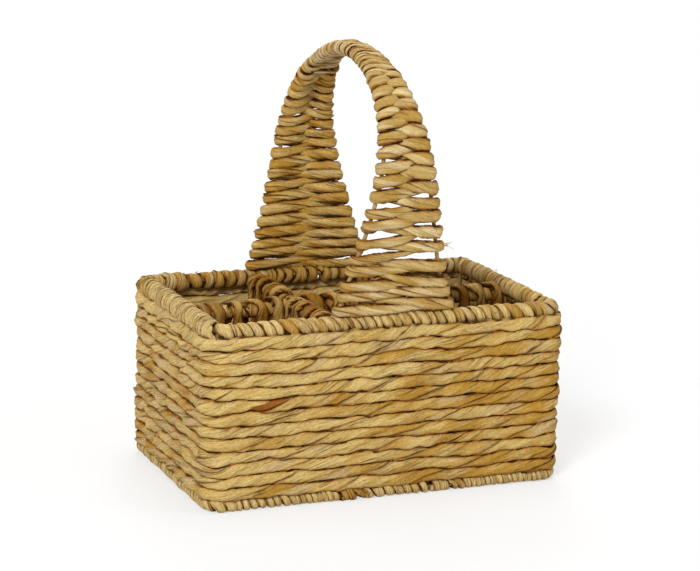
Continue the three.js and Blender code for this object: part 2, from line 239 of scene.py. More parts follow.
def makeStemGroup():
    group = bpy.data.node_groups.new("driedStem", "ShaderNodeTree")
    for name in ("Golden", "Pale", "Grey", "Brown", "Rust", "Crease Shade"):
        group.interface.new_socket(name, in_out="INPUT", socket_type="NodeSocketColor")
    for name in ("Age", "Grain"):
        group.interface.new_socket(name, in_out="INPUT", socket_type="NodeSocketFloat")
    for name, kind in (("Colour", "Color"), ("Roughness", "Float"), ("Height", "Float")):
        group.interface.new_socket(name, in_out="OUTPUT", socket_type="NodeSocket" + kind)
    bench = NodeBench(group)
    given = bench.make("NodeGroupInput")
    wanted = bench.make("NodeGroupOutput")
    lay = bench.make("ShaderNodeAttribute", attribute_name="lay").outputs["Vector"]
    creaseShade, gap, rise, edgeShade, shade, ash, stain = (
        bench.make("ShaderNodeAttribute", attribute_name=name).outputs["Fac"]
        for name in ("creaseShade", "gap", "rise", "edgeShade", "shade", "ash", "stain"))
    creaseShade = bench.math("MAXIMUM", creaseShade, bench.math("MULTIPLY", gap, bench.span(rise, 0.0, 1.0)))

    def layer(around, along, shift, detail, roughness=0.5):
        return bench.noise(bench.scaled(lay, (around, around, along), shift), detail, roughness)

    patch = layer(0.20, 0.022, (0, 0, 0), 2)
    patch = bench.math("ADD", bench.math("MULTIPLY", bench.math("SUBTRACT", patch, 0.5), 0.9), shade)
    colour = bench.mix(bench.span(patch, 0.05, 0.95), given.outputs["Golden"], given.outputs["Pale"])
    cloud = layer(0.25, 0.03, (37, 11, 5), 2)
    ashen = bench.math("ADD", bench.math("SUBTRACT", cloud, 0.5), ash)
    colour = bench.mix(bench.span(ashen, 0.10, 0.75, 0, 0.9), colour, given.outputs["Grey"])
    spots = layer(0.24, 0.036, (9, 71, 23), 3)
    flecks = layer(0.75, 0.10, (29, 3, 61), 2)
    aged = bench.math("MAXIMUM", bench.span(spots, 0.62, 0.78), bench.span(flecks, 0.66, 0.76, 0, 0.75))
    colour = bench.mix(bench.math("MULTIPLY", aged, given.outputs["Age"]), colour, given.outputs["Brown"])

    fibres = layer(2.6, 0.055, (3, 5, 7), 3, 0.6)
    streaks = layer(0.95, 0.026, (51, 13, 2), 3)
    tone = bench.math("MULTIPLY", bench.span(fibres, 0.30, 0.70, 0.89, 1.07),
                      bench.span(streaks, 0.30, 0.70, 0.84, 1.10))
    specks = layer(1.3, 0.42, (6, 27, 44), 2, 0.6)
    tone = bench.math("MULTIPLY", tone, bench.span(specks, 0.32, 0.68, 0.77, 1.18))
    off = bench.math("MULTIPLY", bench.math("SUBTRACT", tone, 1.0), given.outputs["Grain"])
    tone = bench.math("ADD", off, 1.0)
    grain = bench.make("ShaderNodeCombineColor")
    for i, power in enumerate((0.8, 1.0, 2.0)):
        bench.join(bench.math("POWER", tone, power), grain.inputs[i])
    deep = bench.math("SUBTRACT", bench.span(stain, 0.80, 0.98), bench.span(streaks, 0.40, 0.70, 0, 0.6))
    rusty = bench.mix(deep, given.outputs["Rust"], given.outputs["Brown"])
    colour = bench.mix(stain, colour, rusty)
    colour = bench.mix(1.0, colour, grain.outputs[0], "MULTIPLY")
    # painted shade: stems are drawn a deep brown towards their edges, where they press on each other and shade falls
    warm = bench.mix(1.0, colour, (*stemTones["warmth"], 1), "MULTIPLY")
    colour = bench.mix(edgeShade, colour, warm)
    # clusters of fine dark creases along the stem
    lines = bench.span(layer(1.75, 0.07, (17, 41, 8), 1), 0.56, 0.65)
    bunch = bench.span(layer(0.17, 0.034, (83, 19, 31), 1), 0.49, 0.61)
    creases = bench.math("MULTIPLY", lines, bunch)
    marked = bench.math("MULTIPLY", bench.math("MULTIPLY", creases, 0.78), given.outputs["Grain"])
    colour = bench.mix(marked, colour, given.outputs["Brown"])
    # painted shade: near-black in the creases and along the lines between strands
    colour = bench.mix(bench.math("MULTIPLY", creaseShade, 0.95), colour, given.outputs["Crease Shade"])
    bench.join(colour, wanted.inputs["Colour"])
    bench.join(bench.span(fibres, 0.25, 0.75, *stemTones["roughness"]), wanted.inputs["Roughness"])
    height = bench.math("ADD", bench.math("MULTIPLY", fibres, 0.55), bench.math("MULTIPLY", streaks, 0.8))
    height = bench.math("SUBTRACT", height, bench.math("MULTIPLY", creases, 0.5))
    bench.join(height, wanted.inputs["Height"])
    return group


stemGroup = makeStemGroup()


def makeStemMaterial(kind):
    tones = {**stemTones, **stemTones[kind]}
    material, bench, body = newMaterial(kind + "Stem")
    stem = bench.make("ShaderNodeGroup", node_tree=stemGroup)
    for socket, key in (("Golden", "golden"), ("Pale", "pale"), ("Grey", "grey"), ("Brown", "brown"),
                        ("Rust", "rust"), ("Crease Shade", "creaseShadeTone")):
        stem.inputs[socket].default_value = (*tones[key], 1)
    bench.fed(stem, ("Age", "Grain"), (tones["age"], tones["grain"]))
    normal = bench.bump(stem.outputs["Height"], tones["bump"], tones["bumpDepth"])
    bench.fed(body, ("Base Color", "Roughness", "Specular IOR Level", "Normal"),
              (stem.outputs["Colour"], stem.outputs["Roughness"], tones["specular"], normal))
    return material


def makeWireMaterial():
    material, bench, body = newMaterial("tanWire")
    place = bench.make("ShaderNodeTexCoord").outputs["Object"]
    cloudy = bench.noise(bench.scaled(place, (90, 90, 90), (0, 0, 0)), 3)
    colour = bench.mix(bench.span(cloudy, 0.32, 0.68), wireTones["dark"], wireTones["light"])
    fine = bench.noise(bench.scaled(place, (900, 900, 900), (4, 4, 4)), 2)
    roughness = bench.span(fine, 0.3, 0.7, *wireTones["roughness"])
    normal = bench.bump(fine, wireTones["bump"], wireTones["bumpDepth"])
    bench.fed(body, ("Base Color", "Roughness", "Normal"), (colour, roughness, normal))
    return material


wallStem, wrapStem, legStem, gripStem, shadedInnerStem = (
    makeStemMaterial(kind) for kind in ("wall", "wrap", "leg", "grip", "inner"))
tanWire = makeWireMaterial()
print("materials made")


# Strand tools
def wander(seed, span, wave, closed=False, terms=6):  # a smooth seeded wobble of about unit size along a length
    rng = np.random.default_rng(seed)
    turns = span / wave * rng.uniform(0.5, 1.7, terms)
    if closed:
        turns = np.maximum(1, np.round(turns))
    phase = rng.uniform(0, 2 * np.pi, terms)
    size = rng.uniform(0.5, 1, terms)
    size /= math.sqrt((size ** 2).sum() / 2)
    return lambda s: (np.cos(2 * np.pi * np.multiply.outer(np.asarray(s) / span, turns) + phase) * size).sum(-1)


def unit(vectors):
    return vectors / np.linalg.norm(vectors, axis=-1, keepdims=True)


def distances(points):  # gone along a line of points, from the first to each
    return np.concatenate([[0], np.cumsum(np.linalg.norm(np.diff(points, axis=0), axis=1))])


def stemAngles(sides):  # points round a stem, close together at the lip where the rolled strip overlaps itself
    body = np.linspace(0.32, 2 * np.pi - 0.52, sides - 5)
    return np.concatenate([[0.0, 0.12], body, 2 * np.pi - np.array([0.30, 0.16, 0.05])])


# Painted shade on a strand, the dark lines and the brown towards its edges: where they start on its flank, over which
# share, how strong and how sharp
flankLook = {
    "line": 0.82, "lineWander": (0.02, 34), "ramp": 0.05, "broken": (0.70, 0.68, 17), "notch": (3, 1.05, 24),
    "pressed": {"strength": 0.88, "before": 0.17, "over": 0.20, "power": 1.4},
    "rounded": {"strength": 0.36, "from": 0.42, "over": 0.42, "power": 1.2},
    "lip": (0.6, 0.42), "fade": (0.12, 90),
}


def strand(points, outs, thick, wide, look, seed, rough=1.0, pace=1.0, stains=()):
    rng = np.random.default_rng(seed)
    points = np.asarray(points, float)
    count, sides = len(points), look["sides"]
    thick, wide, rough, pace = (np.broadcast_to(np.asarray(v, float), count) for v in (thick, wide, rough, pace))
    s = distances(points)
    span = s[-1]

    def sway(k, wave):
        return wander(seed + k, span, wave)(s)

    along = unit(np.gradient(points, axis=0))
    side = unit(np.cross(along, outs))
    outer = np.cross(side, along)
    pitch = look["twist"]
    paced = np.cumsum(np.gradient(s) * pace)
    turn = 2 * np.pi * paced / pitch + look["vary"] * sway(1, 3 * abs(pitch)) + rng.uniform(0, 6.28)
    psi = stemAngles(sides)
    phi = psi + turn[:, None]
    boxy = look["boxy"]
    radius = ((np.abs(np.cos(phi)) / thick[:, None]) ** boxy
              + (np.abs(np.sin(phi)) / wide[:, None]) ** boxy) ** (-1 / boxy)
    ragged = 1 + 0.25 * sway(5, 9)
    lip = look["lip"] * rough * ragged * np.clip(0.8 + 0.4 * sway(2, 70), 0.15, 1.6)
    # painted shade in the crack under the rolled lip
    crack = np.exp(-((2 * np.pi - psi) / 0.17) ** 2)
    creaseShade = (crack + 0.35 * np.exp(-(psi / 0.12) ** 2)) * np.clip(0.75 + 0.35 * sway(3, 40), 0.2, 1)[:, None]
    relief = lip[:, None] * (0.5 - psi / (2 * np.pi)) - look["groove"] * crack
    # the strip's flat faces, each ending in a small fold
    corners = [np.zeros(count)]
    for k in range(1, look["faces"]):
        mean = 2 * np.pi * (k + rng.uniform(-0.2, 0.2)) / look["faces"]
        corners.append(mean + 0.22 * sway(10 + k, 120))
    corners.append(np.full(count, 2 * np.pi))
    chord = np.ones_like(radius)
    shade, ash, stain = (np.zeros_like(radius) for _ in range(3))
    rings = [int(np.argmin(np.abs(s - place))) for place, _ in stains]
    outward = [max(range(look["faces"]), key=lambda k: np.cos((corners[k] + corners[k + 1])[i] / 2 + turn[i]))
               for i in rings]
    for k, (low, high) in enumerate(zip(corners[:-1], corners[1:])):
        half, middle = ((high - low) / 2)[:, None], ((high + low) / 2)[:, None]
        inside = (psi >= low[:, None]) & (psi < high[:, None])
        chord = np.where(inside, np.cos(half) / np.maximum(np.cos(psi - middle), 0.2), chord)
        shade = np.where(inside, 0.17 * sway(50 + k, 85)[:, None], shade)
        ash = np.where(inside, 0.30 * sway(60 + k, 110)[:, None], ash)
        for (place, length), face in zip(stains, outward):
            if face == k:
                gone = ((s - place) / length)[:, None]
                lens = np.clip(1 - np.abs(gone) ** 2.2, 0, 1)
                across = np.abs(psi - middle) / (1.3 * half)
                fade = 0.88 - 0.12 * np.clip(gone, -1, 1)
                stain = np.maximum(stain, fade * np.clip((1.15 * lens - across) / 0.10, 0, 1))
        if k:
            strength = np.clip(0.3 + 0.7 * sway(20 + k, 65), 0, 1.2)[:, None]
            off = psi - low[:, None]
            step = np.where(off < 0, -np.clip(1 + off / 0.6, 0, 1), np.clip(1 - off / 0.6, 0, 1))
            relief = relief + 0.5 * look["fold"] * rough[:, None] * strength * step
            # painted shade in each fold
            creaseShade = np.maximum(creaseShade, 0.5 * strength * np.exp(-((off + 0.1) / 0.13) ** 2))
    radius = radius * (1 + look["flat"] * (chord - 0.86)) + relief
    for k in range(2):
        swell = np.cos((k + 1) * psi + rng.uniform(0, 6.28)) * sway(30 + k, 55)[:, None]
        radius = radius * (1 + look["lump"] * rough[:, None] * swell)

    flank = np.abs(radius * np.sin(phi)) / wide[:, None]
    amount, wave = flankLook["lineWander"]
    line = look.get("line", flankLook["line"]) + amount * sway(40, wave)[:, None]
    upper = np.sin(phi) > 0
    mean, amount, wave = flankLook["broken"]
    broken = np.where(upper, sway(6, wave)[:, None], sway(7, wave)[:, None])
    broken = np.clip(mean + amount * broken, 0.08, 1)
    steep, rare, wave = flankLook["notch"]
    notch = np.where(upper, sway(8, wave)[:, None], sway(9, wave)[:, None])
    notch = np.clip(steep * (notch - rare), 0, 1)
    # painted shade along the lines where strands meet, broken here and there, with small dark notches
    gap = np.maximum(look["crevice"] * broken, notch)
    rise = (flank - line + 0.08 * notch) / look.get("ramp", flankLook["ramp"])
    near, broad, (lipWarm, lipReach) = flankLook["pressed"], flankLook["rounded"], flankLook["lip"]
    # painted shade: brown towards the strand's edges and under its lip
    edgeShade = np.maximum(
        near["strength"] * np.clip((flank - line + near["before"]) / near["over"], 0, 1) ** near["power"],
        broad["strength"] * np.clip((flank - broad["from"]) / broad["over"], 0, 1) ** broad["power"])
    edgeShade = np.maximum(edgeShade, lipWarm * np.exp(-((2 * np.pi - psi) / lipReach) ** 2))
    verts = (points[:, None, :] + (radius * np.cos(phi))[..., None] * outer[:, None, :]
             + (radius * np.sin(phi))[..., None] * side[:, None, :])
    reach = float(np.mean(np.sqrt(thick * wide)))
    offset = rng.uniform(0, 4000)
    lay = np.stack(np.broadcast_arrays(reach * np.cos(psi), reach * np.sin(psi), (s + offset)[:, None]), -1)
    shade = shade + look.get("shade", rng.uniform(0.2, 0.8))
    fade, wave = look.get("fade", flankLook["fade"])
    shade = shade + fade * sway(4, wave)[:, None]
    ring = np.arange(sides)
    following = (ring + 1) % sides
    rows = np.arange(count - 1)[:, None] * sides
    quads = np.stack([rows + ring, rows + following, rows + following + sides, rows + ring + sides], -1)
    middle, last = count * sides, (count - 1) * sides
    tris = np.concatenate([
        np.stack([following, ring, np.full(sides, middle)], -1),
        np.stack([last + ring, last + following, np.full(sides, middle + 1)], -1),
    ])
    part = {
        "verts": np.concatenate([verts.reshape(-1, 3), verts[0].mean(0)[None], verts[-1].mean(0)[None]]),
        "quads": quads.reshape(-1, 4), "tris": tris,
        "lay": np.concatenate([lay.reshape(-1, 3), [[0, 0, offset], [0, 0, offset + span]]]),
    }
    # each value over the strand, and at the middle of its two ends
    for key, values, tip in (("creaseShade", np.clip(look.get("split", 1.0) * creaseShade, 0, 1), 0.3), ("gap", gap, 0),
                             ("rise", np.clip(rise, -20, 20), 0), ("edgeShade", look.get("warm", 1.0) * edgeShade, 0.5),
                             ("shade", shade, 0.5), ("ash", ash, 0), ("stain", stain, 0)):
        part[key] = np.append(values, [tip, tip])
    return part


def smoothed(rows, times):
    rows = rows.copy()
    for _ in range(times):
        rows[1:-1] = 0.25 * rows[:-2] + 0.5 * rows[1:-1] + 0.25 * rows[2:]
    return rows


def closedTips(thick, wide, steps=4):
    ramp = np.ones(len(thick))
    ramp[:steps] = np.linspace(0.45, 1, steps, endpoint=False) ** 0.6
    ramp[-steps:] = ramp[:steps][::-1]
    return thick * ramp, wide * ramp


frayed = {
    "look": {"sides": 8, "twist": 25.0, "vary": 0.0, "boxy": 2.0, "faces": 2, "flat": 0.0, "lip": 0.0,
             "groove": 0.0, "fold": 0.0, "lump": 0.0, "crevice": 0.0, "shade": 0.9},
    "thin": (0.20, 0.42), "flat": (1, 2.4), "spread": 0.7, "reach": (0.45, 1.1), "lean": 0.24, "curl": 0.25,
    "taper": 0.75, "steps": 7,
}


def frayTuft(place, toward, count, length, seed):  # loose fibres that stand out from a strand's end
    rng = np.random.default_rng(seed)
    toward = unit(np.array(toward, float))
    side = unit(np.cross(toward, (0.31, 0.17, 1)))
    lift = np.cross(side, toward)
    t = np.linspace(0, 1, frayed["steps"])
    parts = []
    for k in range(count):
        reach = length * rng.uniform(*frayed["reach"])
        lean, curl = rng.normal(0, frayed["lean"], 2), rng.normal(0, frayed["curl"], 2)
        start = np.asarray(place, float) + frayed["spread"] * (side * rng.normal() + lift * rng.normal())
        points = start + reach * (np.outer(t, toward) + np.outer(t * lean[0] + t ** 2 * curl[0], side)
                                  + np.outer(t * lean[1] + t ** 2 * curl[1], lift))
        size = rng.uniform(*frayed["thin"]) * (1 - frayed["taper"] * t)
        outs = np.broadcast_to(lift, points.shape)
        wide = size * rng.uniform(*frayed["flat"])
        parts.append(strand(points, outs, size, wide, frayed["look"], seed + 100 + 7 * k))
    return parts


stemSharp = math.radians(34)  # sharper folds of a stem keep their edge


def makePiece(name, parts, material, nodes):
    counts = [len(p["verts"]) for p in parts]
    starts = np.concatenate([[0], np.cumsum(counts)[:-1]])
    verts = np.concatenate([p["verts"] for p in parts]) * mm
    quads = np.concatenate([p["quads"] + k for p, k in zip(parts, starts)])
    tris = np.concatenate([p["tris"] + k for p, k in zip(parts, starts)])
    mesh = bpy.data.meshes.new(name)
    mesh.vertices.add(len(verts))
    mesh.vertices.foreach_set("co", verts.astype(np.float32).ravel())
    corners = np.concatenate([quads.ravel(), tris.ravel()]).astype(np.int32)
    mesh.loops.add(len(corners))
    mesh.loops.foreach_set("vertex_index", corners)
    begins = np.concatenate([np.arange(len(quads)) * 4, len(quads) * 4 + np.arange(len(tris)) * 3])
    mesh.polygons.add(len(begins))
    mesh.polygons.foreach_set("loop_start", begins.astype(np.int32))
    mesh.update(calc_edges=True)
    for key in ("lay", "creaseShade", "gap", "rise", "edgeShade", "shade", "ash", "stain"):
        values = np.concatenate([p[key] for p in parts]).astype(np.float32)
        kind, field = ("FLOAT_VECTOR", "vector") if key == "lay" else ("FLOAT", "value")
        mesh.attributes.new(key, kind, "POINT").data.foreach_set(field, values.ravel())
    piece = bpy.data.objects.new(name, mesh)
    scene.collection.objects.link(piece)
    bpy.ops.object.select_all(action="DESELECT")
    piece.select_set(True)
    bpy.context.view_layer.objects.active = piece
    bpy.ops.object.shade_smooth_by_angle(angle=stemSharp)
    mesh.materials.append(material)
    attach(piece, "root")
    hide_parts(*nodes)


def makeLap(inset):  # once round the basket at an inset from its outer face, from the left end of the front wall
    radius = basket["corner"] - inset
    arc = radius * math.pi / 2
    headings = np.array([[1, 0], [0, 1], [-1, 0], [0, -1]], float)
    normals = np.array([[0, -1], [1, 0], [0, 1], [-1, 0]], float)
    sizes = [(basket["length"], basket["width"]), (basket["width"], basket["length"])] * 2
    runs = np.array([full - 2 * basket["corner"] for full, _ in sizes])
    reaches = np.array([across / 2 - inset for _, across in sizes])
    starts = np.concatenate([[0], np.cumsum(runs + arc)])
    length = starts[-1]

    def at(distance):
        d = np.mod(np.asarray(distance, float), length)
        wall = np.clip(np.searchsorted(starts, d, side="right") - 1, 0, 3)
        gone = d - starts[wall]
        straight = np.minimum(gone, runs[wall])
        turn = np.maximum(gone - runs[wall], 0) / radius
        out = normals[wall] * np.cos(turn)[:, None] + headings[wall] * np.sin(turn)[:, None]
        base = normals[wall] * (reaches[wall] - radius)[:, None]
        base = base + headings[wall] * (straight - runs[wall] / 2)[:, None]
        flat = base + out * radius
        return np.column_stack([flat, np.zeros(len(d))]), np.column_stack([out, np.zeros(len(d))])

    def bend(distance):  # one on a corner, none on a straight side
        d = np.mod(np.asarray(distance, float), length)
        wall = np.clip(np.searchsorted(starts, d, side="right") - 1, 0, 3)
        inside = d - starts[wall] - runs[wall]
        return np.clip(np.minimum(inside, arc - inside) / 2 + 0.5, 0, 1)

    return {"length": length, "at": at, "bend": bend, "starts": starts, "runs": runs, "arc": arc, "radius": radius}


# Wire frame: round rods and hoops
wireShape = {"roundness": 3, "cornerSteps": 12, "railSteps": 150, "sharp": math.radians(40)}


def makeWire(node, points, closed=False):
    line = bpy.data.curves.new(node, "CURVE")
    line.dimensions = "3D"
    line.bevel_depth = basket["wire"] / 2 * mm
    line.bevel_resolution = wireShape["roundness"]
    line.use_fill_caps = True
    spline = line.splines.new("POLY")
    spline.points.add(len(points) - 1)
    for target, p in zip(spline.points, points):
        target.co = (*(np.asarray(p) * mm), 1)
    spline.use_cyclic_u = closed
    rod = bpy.data.objects.new(node + "Round", line)
    scene.collection.objects.link(rod)
    bpy.ops.object.select_all(action="DESELECT")
    rod.select_set(True)
    bpy.context.view_layer.objects.active = rod
    bpy.ops.object.convert(target="MESH")
    rod = bpy.context.object
    bpy.ops.object.shade_smooth_by_angle(angle=wireShape["sharp"])
    rod.data.materials.append(tanWire)
    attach(rod, "root")
    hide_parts(node)


def hoopPoints(inset, z):
    lap = makeLap(inset)
    marks = np.concatenate([np.linspace(start + run, start + run + lap["arc"], wireShape["cornerSteps"])
                            for start, run in zip(lap["starts"][:4], lap["runs"])])
    points, _ = lap["at"](marks)
    return points + axisZ * z


# Handle line: bowed legs and an elliptic top, with two rails that close in at the grip
handle = {
    "foot": 142.13, "apex": 337.6, "shoulder": 252.0, "bow": 16.5,
    "gripHalf": 5.4, "taper": 1.92, "sway": 2.2, "footShift": 2.4, "frontNarrow": 2.0,
}


def makeHandleTable():
    t = np.linspace(0, 1, 800)
    legZ = handle["foot"] + (handle["shoulder"] - handle["foot"]) * t
    legY = -(frameY + handle["bow"] * np.sin(t * np.pi / 2) ** 2)
    a = np.linspace(0, np.pi, 1600)[1:-1]
    topY = -(frameY + handle["bow"]) * np.cos(a)
    topZ = handle["shoulder"] + (handle["apex"] - handle["shoulder"]) * np.sin(a)
    y = np.concatenate([legY, topY, -legY[::-1]])
    z = np.concatenate([legZ, topZ, legZ[::-1]])
    s = np.concatenate([[0], np.cumsum(np.hypot(np.diff(y), np.diff(z)))])
    return s, y, z, np.gradient(y, s), np.gradient(z, s)


handleS, handleY, handleZ, handleDy, handleDz = makeHandleTable()
handleLength = handleS[-1]


def handleAt(distance):
    d = np.clip(np.atleast_1d(np.asarray(distance, float)), 0, handleLength)
    climb = 1 - np.abs(2 * d / handleLength - 1)
    front = np.clip(1 - 2 * d / handleLength, -1, 1)  # one at the front foot, minus one at the rear
    x = handle["sway"] * np.sin(np.pi * climb) + handle["footShift"] * np.sign(front) * np.abs(front) ** 3
    centre = np.column_stack([x, np.interp(d, handleS, handleY), np.interp(d, handleS, handleZ)])
    climbing = np.interp(d, handleS, handleDy), np.interp(d, handleS, handleDz)
    along = unit(np.column_stack([np.zeros(len(d)), *climbing]))
    half = handle["gripHalf"] + (basket["crossX"] - handle["gripHalf"]) * (1 - climb) ** handle["taper"]
    half = half - handle["frontNarrow"] * np.maximum(front, 0) ** 3
    return centre, np.cross(np.broadcast_to(axisX, along.shape), along), half


def makeWireFrame():
    makeWire("rim_hoop", hoopPoints(basket["frameInset"], basket["rimZ"]), True)
    makeWire("base_hoop", hoopPoints(basket["baseInset"], basket["baseZ"]), True)
    gap = basket["wire"] / 2 + basket["fit"]
    low, high = basket["baseZ"] + gap, basket["rimZ"] - gap
    bend = (basket["corner"] - basket["frameInset"]) * (1 - math.sqrt(0.5))
    floorRodZ = basket["baseTop"] + gap
    for endName, sx in (("left", -1), ("right", 1)):
        for sideName, sy in (("front", -1), ("rear", 1)):
            x, y = sx * (frameX - bend), sy * (frameY - bend)
            makeWire(f"corner_upright_{sideName}_{endName}", [(x, y, low), (x, y, high)])
            x, y = sx * basket["crossX"], sy * frameY
            makeWire(f"side_upright_{sideName}_{endName}", [(x, y, low), (x, y, high)])
        makeWire(f"end_upright_{endName}", [(sx * frameX, 0, low), (sx * frameX, 0, high)])
        for place, z in (("top", basket["crossRodTop"]), ("bottom", basket["crossRodBottom"])):
            x, reach = sx * basket["crossX"], frameY - gap
            makeWire(f"cross_rod_{place}_{endName}", [(x, -reach, z), (x, reach, z)])
        d = np.linspace(0, handleLength, wireShape["railSteps"])
        centre, _, half = handleAt(d)
        makeWire(f"handle_rail_{endName}", centre + np.outer(sx * half, axisX))
    step = basket["wire"] + basket["fit"]
    for place, z in (("top", basket["crossRodTop"] - step), ("bottom", basket["crossRodBottom"] + step)):
        reach = frameX - gap
        makeWire(f"long_rod_{place}", [(-reach, 0, z), (reach, 0, z)])
    for i, x in enumerate(basket["floorRodX"]):
        reach = basket["width"] / 2 - basket["floorRodInset"]
        makeWire(f"floor_rod_{i + 1}", [(x, -reach, floorRodZ), (x, reach, floorRodZ)])


makeWireFrame()
print("wire frame made")


# Wall courses: one rolled and twisted stem each, pressed between its neighbours
wall = {
    "count": 13, "pitch": 9.7, "bottom": 9.3, "depth": 7.6, "seamStep": 37, "seamReach": 90,
    "ringStep": 1.6, "wave": 0.6, "waveLength": 95, "press": 0.22, "topDrop": 2.0, "pinch": 1.5, "cornerSpread": 120,
    # each strand's ends: overlap, length and depth of the tuck, its share at the first end, length of the tip
    "overlap": 6, "tuckLength": 16, "tuckDepth": 3.0, "tuckFirst": 0.3, "tipLength": 7,
    # the left end is the most roughly laid: half its length and where that fades, then what changes there
    "endHalf": 96, "endFade": 16, "endRough": 0.1, "endTwist": -0.25, "endGrey": 0.32, "sway": 0.28, "endSway": 0.3,
    "endGap": 0.28,
    # the front goes from pale on the left to golden on the right: partly the stems' own colour, partly painted light
    # falling from the left
    "frontFrom": 62, "frontFade": 26, "frontLean": (-0.08, -0.42),
    "topShade": 0.95, "topGrey": 0.22, "topWarmShade": 0.55, "topSmooth": 0.6,
    # course, place along the lap, half length of a rust-brown face
    "stains": [(7, 31.0, 29.0), (3, 352.0, 17.0), (10, 610.0, 19.0), (5, 700.0, 12.0)],
    # course, place, way, fibres, length
    "frays": [
        (10, (-42.6, -96.4, 115.2), (0.35, -0.5, 0.8), 4, 3.2), (9, (-150.2, 62.6, 102.4), (-0.6, 0.4, 0.6), 4, 3.6),
        (5, (-150.2, 27.8, 64.0), (-0.6, -0.5, 0.3), 5, 4.2), (7, (-150.0, -40.0, 83.5), (-0.5, -0.6, -0.4), 4, 3.6),
        (2, (60.0, -96.2, 36.0), (0.5, -0.5, -0.6), 3, 3.0), (6, (40.0, 96.2, 74.0), (-0.6, 0.5, 0.5), 4, 3.6),
        (11, (150.2, 10.0, 122.0), (0.5, 0.6, 0.5), 4, 3.6), (4, (-20.0, 96.2, 54.0), (0.5, 0.6, -0.4), 4, 3.6),
    ],
    "look": {"sides": 34, "twist": -66.0, "vary": 0.9, "boxy": 3.3, "faces": 4, "flat": 0.46, "lip": 1.15,
             "groove": 0.5, "fold": 0.65, "lump": 0.02, "line": 0.87, "crevice": 0.94},
    "seed": 4100,
}


def offFrom(lap, d, place):  # signed distance from a place, the shorter way round
    return (d - place + lap["length"] / 2) % lap["length"] - lap["length"] / 2


def wallEdge(lap, height, size, wobble, fine, pinch):
    bends = [start + run + lap["arc"] / 2 for start, run in zip(lap["starts"], lap["runs"])]
    return lambda d: height + size * (wobble(d) + 0.6 * fine(d)) + sum(
        push * np.exp(-offFrom(lap, d, bend) ** 2 / wall["cornerSpread"]) for push, bend in zip(pinch, bends))


def wallEdges(lap):  # the lines between the courses
    rng = np.random.default_rng(wall["seed"] + 880)
    length = lap["length"]
    edges = []
    for k in range(wall["count"] + 1):
        size = 0.35 if k in (0, wall["count"]) else wall["wave"]
        wobble = wander(wall["seed"] + 900 + k, length, wall["waveLength"], True)
        fine = wander(wall["seed"] + 950 + k, length, 30, True)
        height = wall["bottom"] + wall["pitch"] * k
        pinch = rng.uniform(-1, 1, 4) * (0 if k in (0, wall["count"]) else wall["pinch"])
        edges.append(wallEdge(lap, height, size, wobble, fine, pinch))
    return edges


def makeWall():
    lap = makeLap(wall["depth"] / 2)
    edges = wallEdges(lap)
    rearMiddle = lap["starts"][2] + lap["runs"][2] / 2
    leftMiddle = lap["starts"][3] + lap["runs"][3] / 2
    for level in range(wall["count"]):
        seed = wall["seed"] + 41 * level
        rng = np.random.default_rng(seed)
        shift = (level * wall["seamStep"]) % (2 * wall["seamReach"]) - wall["seamReach"]
        begin = rearMiddle + shift
        count = int(lap["length"] / wall["ringStep"])
        d = np.linspace(begin - wall["overlap"], begin + lap["length"] + wall["overlap"], count)
        points, outs = lap["at"](d)
        endWall = np.clip((wall["endHalf"] - np.abs(offFrom(lap, d, leftMiddle))) / wall["endFade"], 0, 1)
        low, high = edges[level](d), edges[level + 1](d)
        topmost = level == wall["count"] - 1
        low = low - wall["topDrop"] * endWall * topmost
        high = high - wall["topDrop"] * endWall * (level == wall["count"] - 2)
        fromEnd = np.minimum(d - d[0], d[-1] - d)
        tuck = np.clip(1 - fromEnd / wall["tuckLength"], 0, 1)
        ease = 0.35 + 0.65 * np.clip(fromEnd / wall["tipLength"], 0, 1) ** 0.5
        depth = wall["depth"] / 2 * (1 + 0.05 * wander(seed + 5, lap["length"], 80)(d)) * ease
        slit = np.clip(wander(seed + 8, lap["length"], 45)(d) - 1.25, 0, 0.6)
        height = ((high - low) / 2 + wall["press"] - 0.75 * slit) * ease
        inward = wall["tuckDepth"] * tuck ** 2 * np.where(d > begin + lap["length"] / 2, 1, wall["tuckFirst"])
        sway = wall["sway"] + wall["endSway"] * endWall
        inward = inward + sway * wander(seed + 6, lap["length"], 38)(d) * (1 - tuck)
        points = points - outs * inward[:, None] + np.outer((low + high) / 2, axisZ)
        look = dict(wall["look"], shade=rng.uniform(0.36, 0.90), twist=wall["look"]["twist"] * rng.uniform(0.8, 1.25))
        # partly painted light: the front is drawn paler on the left and more golden on the right
        toRight = points[:, 0] / (basket["length"] / 2)
        frontWall = np.clip((-points[:, 1] - wall["frontFrom"]) / wall["frontFade"], 0, 1)
        lean = (wall["frontLean"][0] + wall["frontLean"][1] * toRight) * frontWall
        grey = wall["endGrey"] * endWall
        if topmost:
            look.update(shade=wall["topShade"], warm=wall["topWarmShade"])
            grey = np.maximum(grey, wall["topGrey"] * (0.6 - 0.4 * toRight) * frontWall)
        stains = [((place - d[0]) % lap["length"], length) for row, place, length in wall["stains"] if row == level]
        rough = 1 + (wall["endRough"] - wall["topSmooth"] * topmost) * endWall
        parts = [strand(points, outs, depth, height, look, seed, rough, 1 + wall["endTwist"] * endWall, stains)]
        parts[0]["gap"][:-2] *= np.repeat(1 - wall["endGap"] * endWall, look["sides"])
        parts[0]["ash"][:-2] += np.repeat(grey, look["sides"])
        parts[0]["shade"][:-2] += np.repeat(lean, look["sides"])
        for k, (row, *tuft) in enumerate(wall["frays"]):
            if row == level:
                parts += frayTuft(*tuft, wall["seed"] + 700 + k)
        makePiece(f"wallCourse{level + 1:02d}", parts, wallStem, [f"wall_course_{level + 1:02d}"])


makeWall()
print("wall courses made")


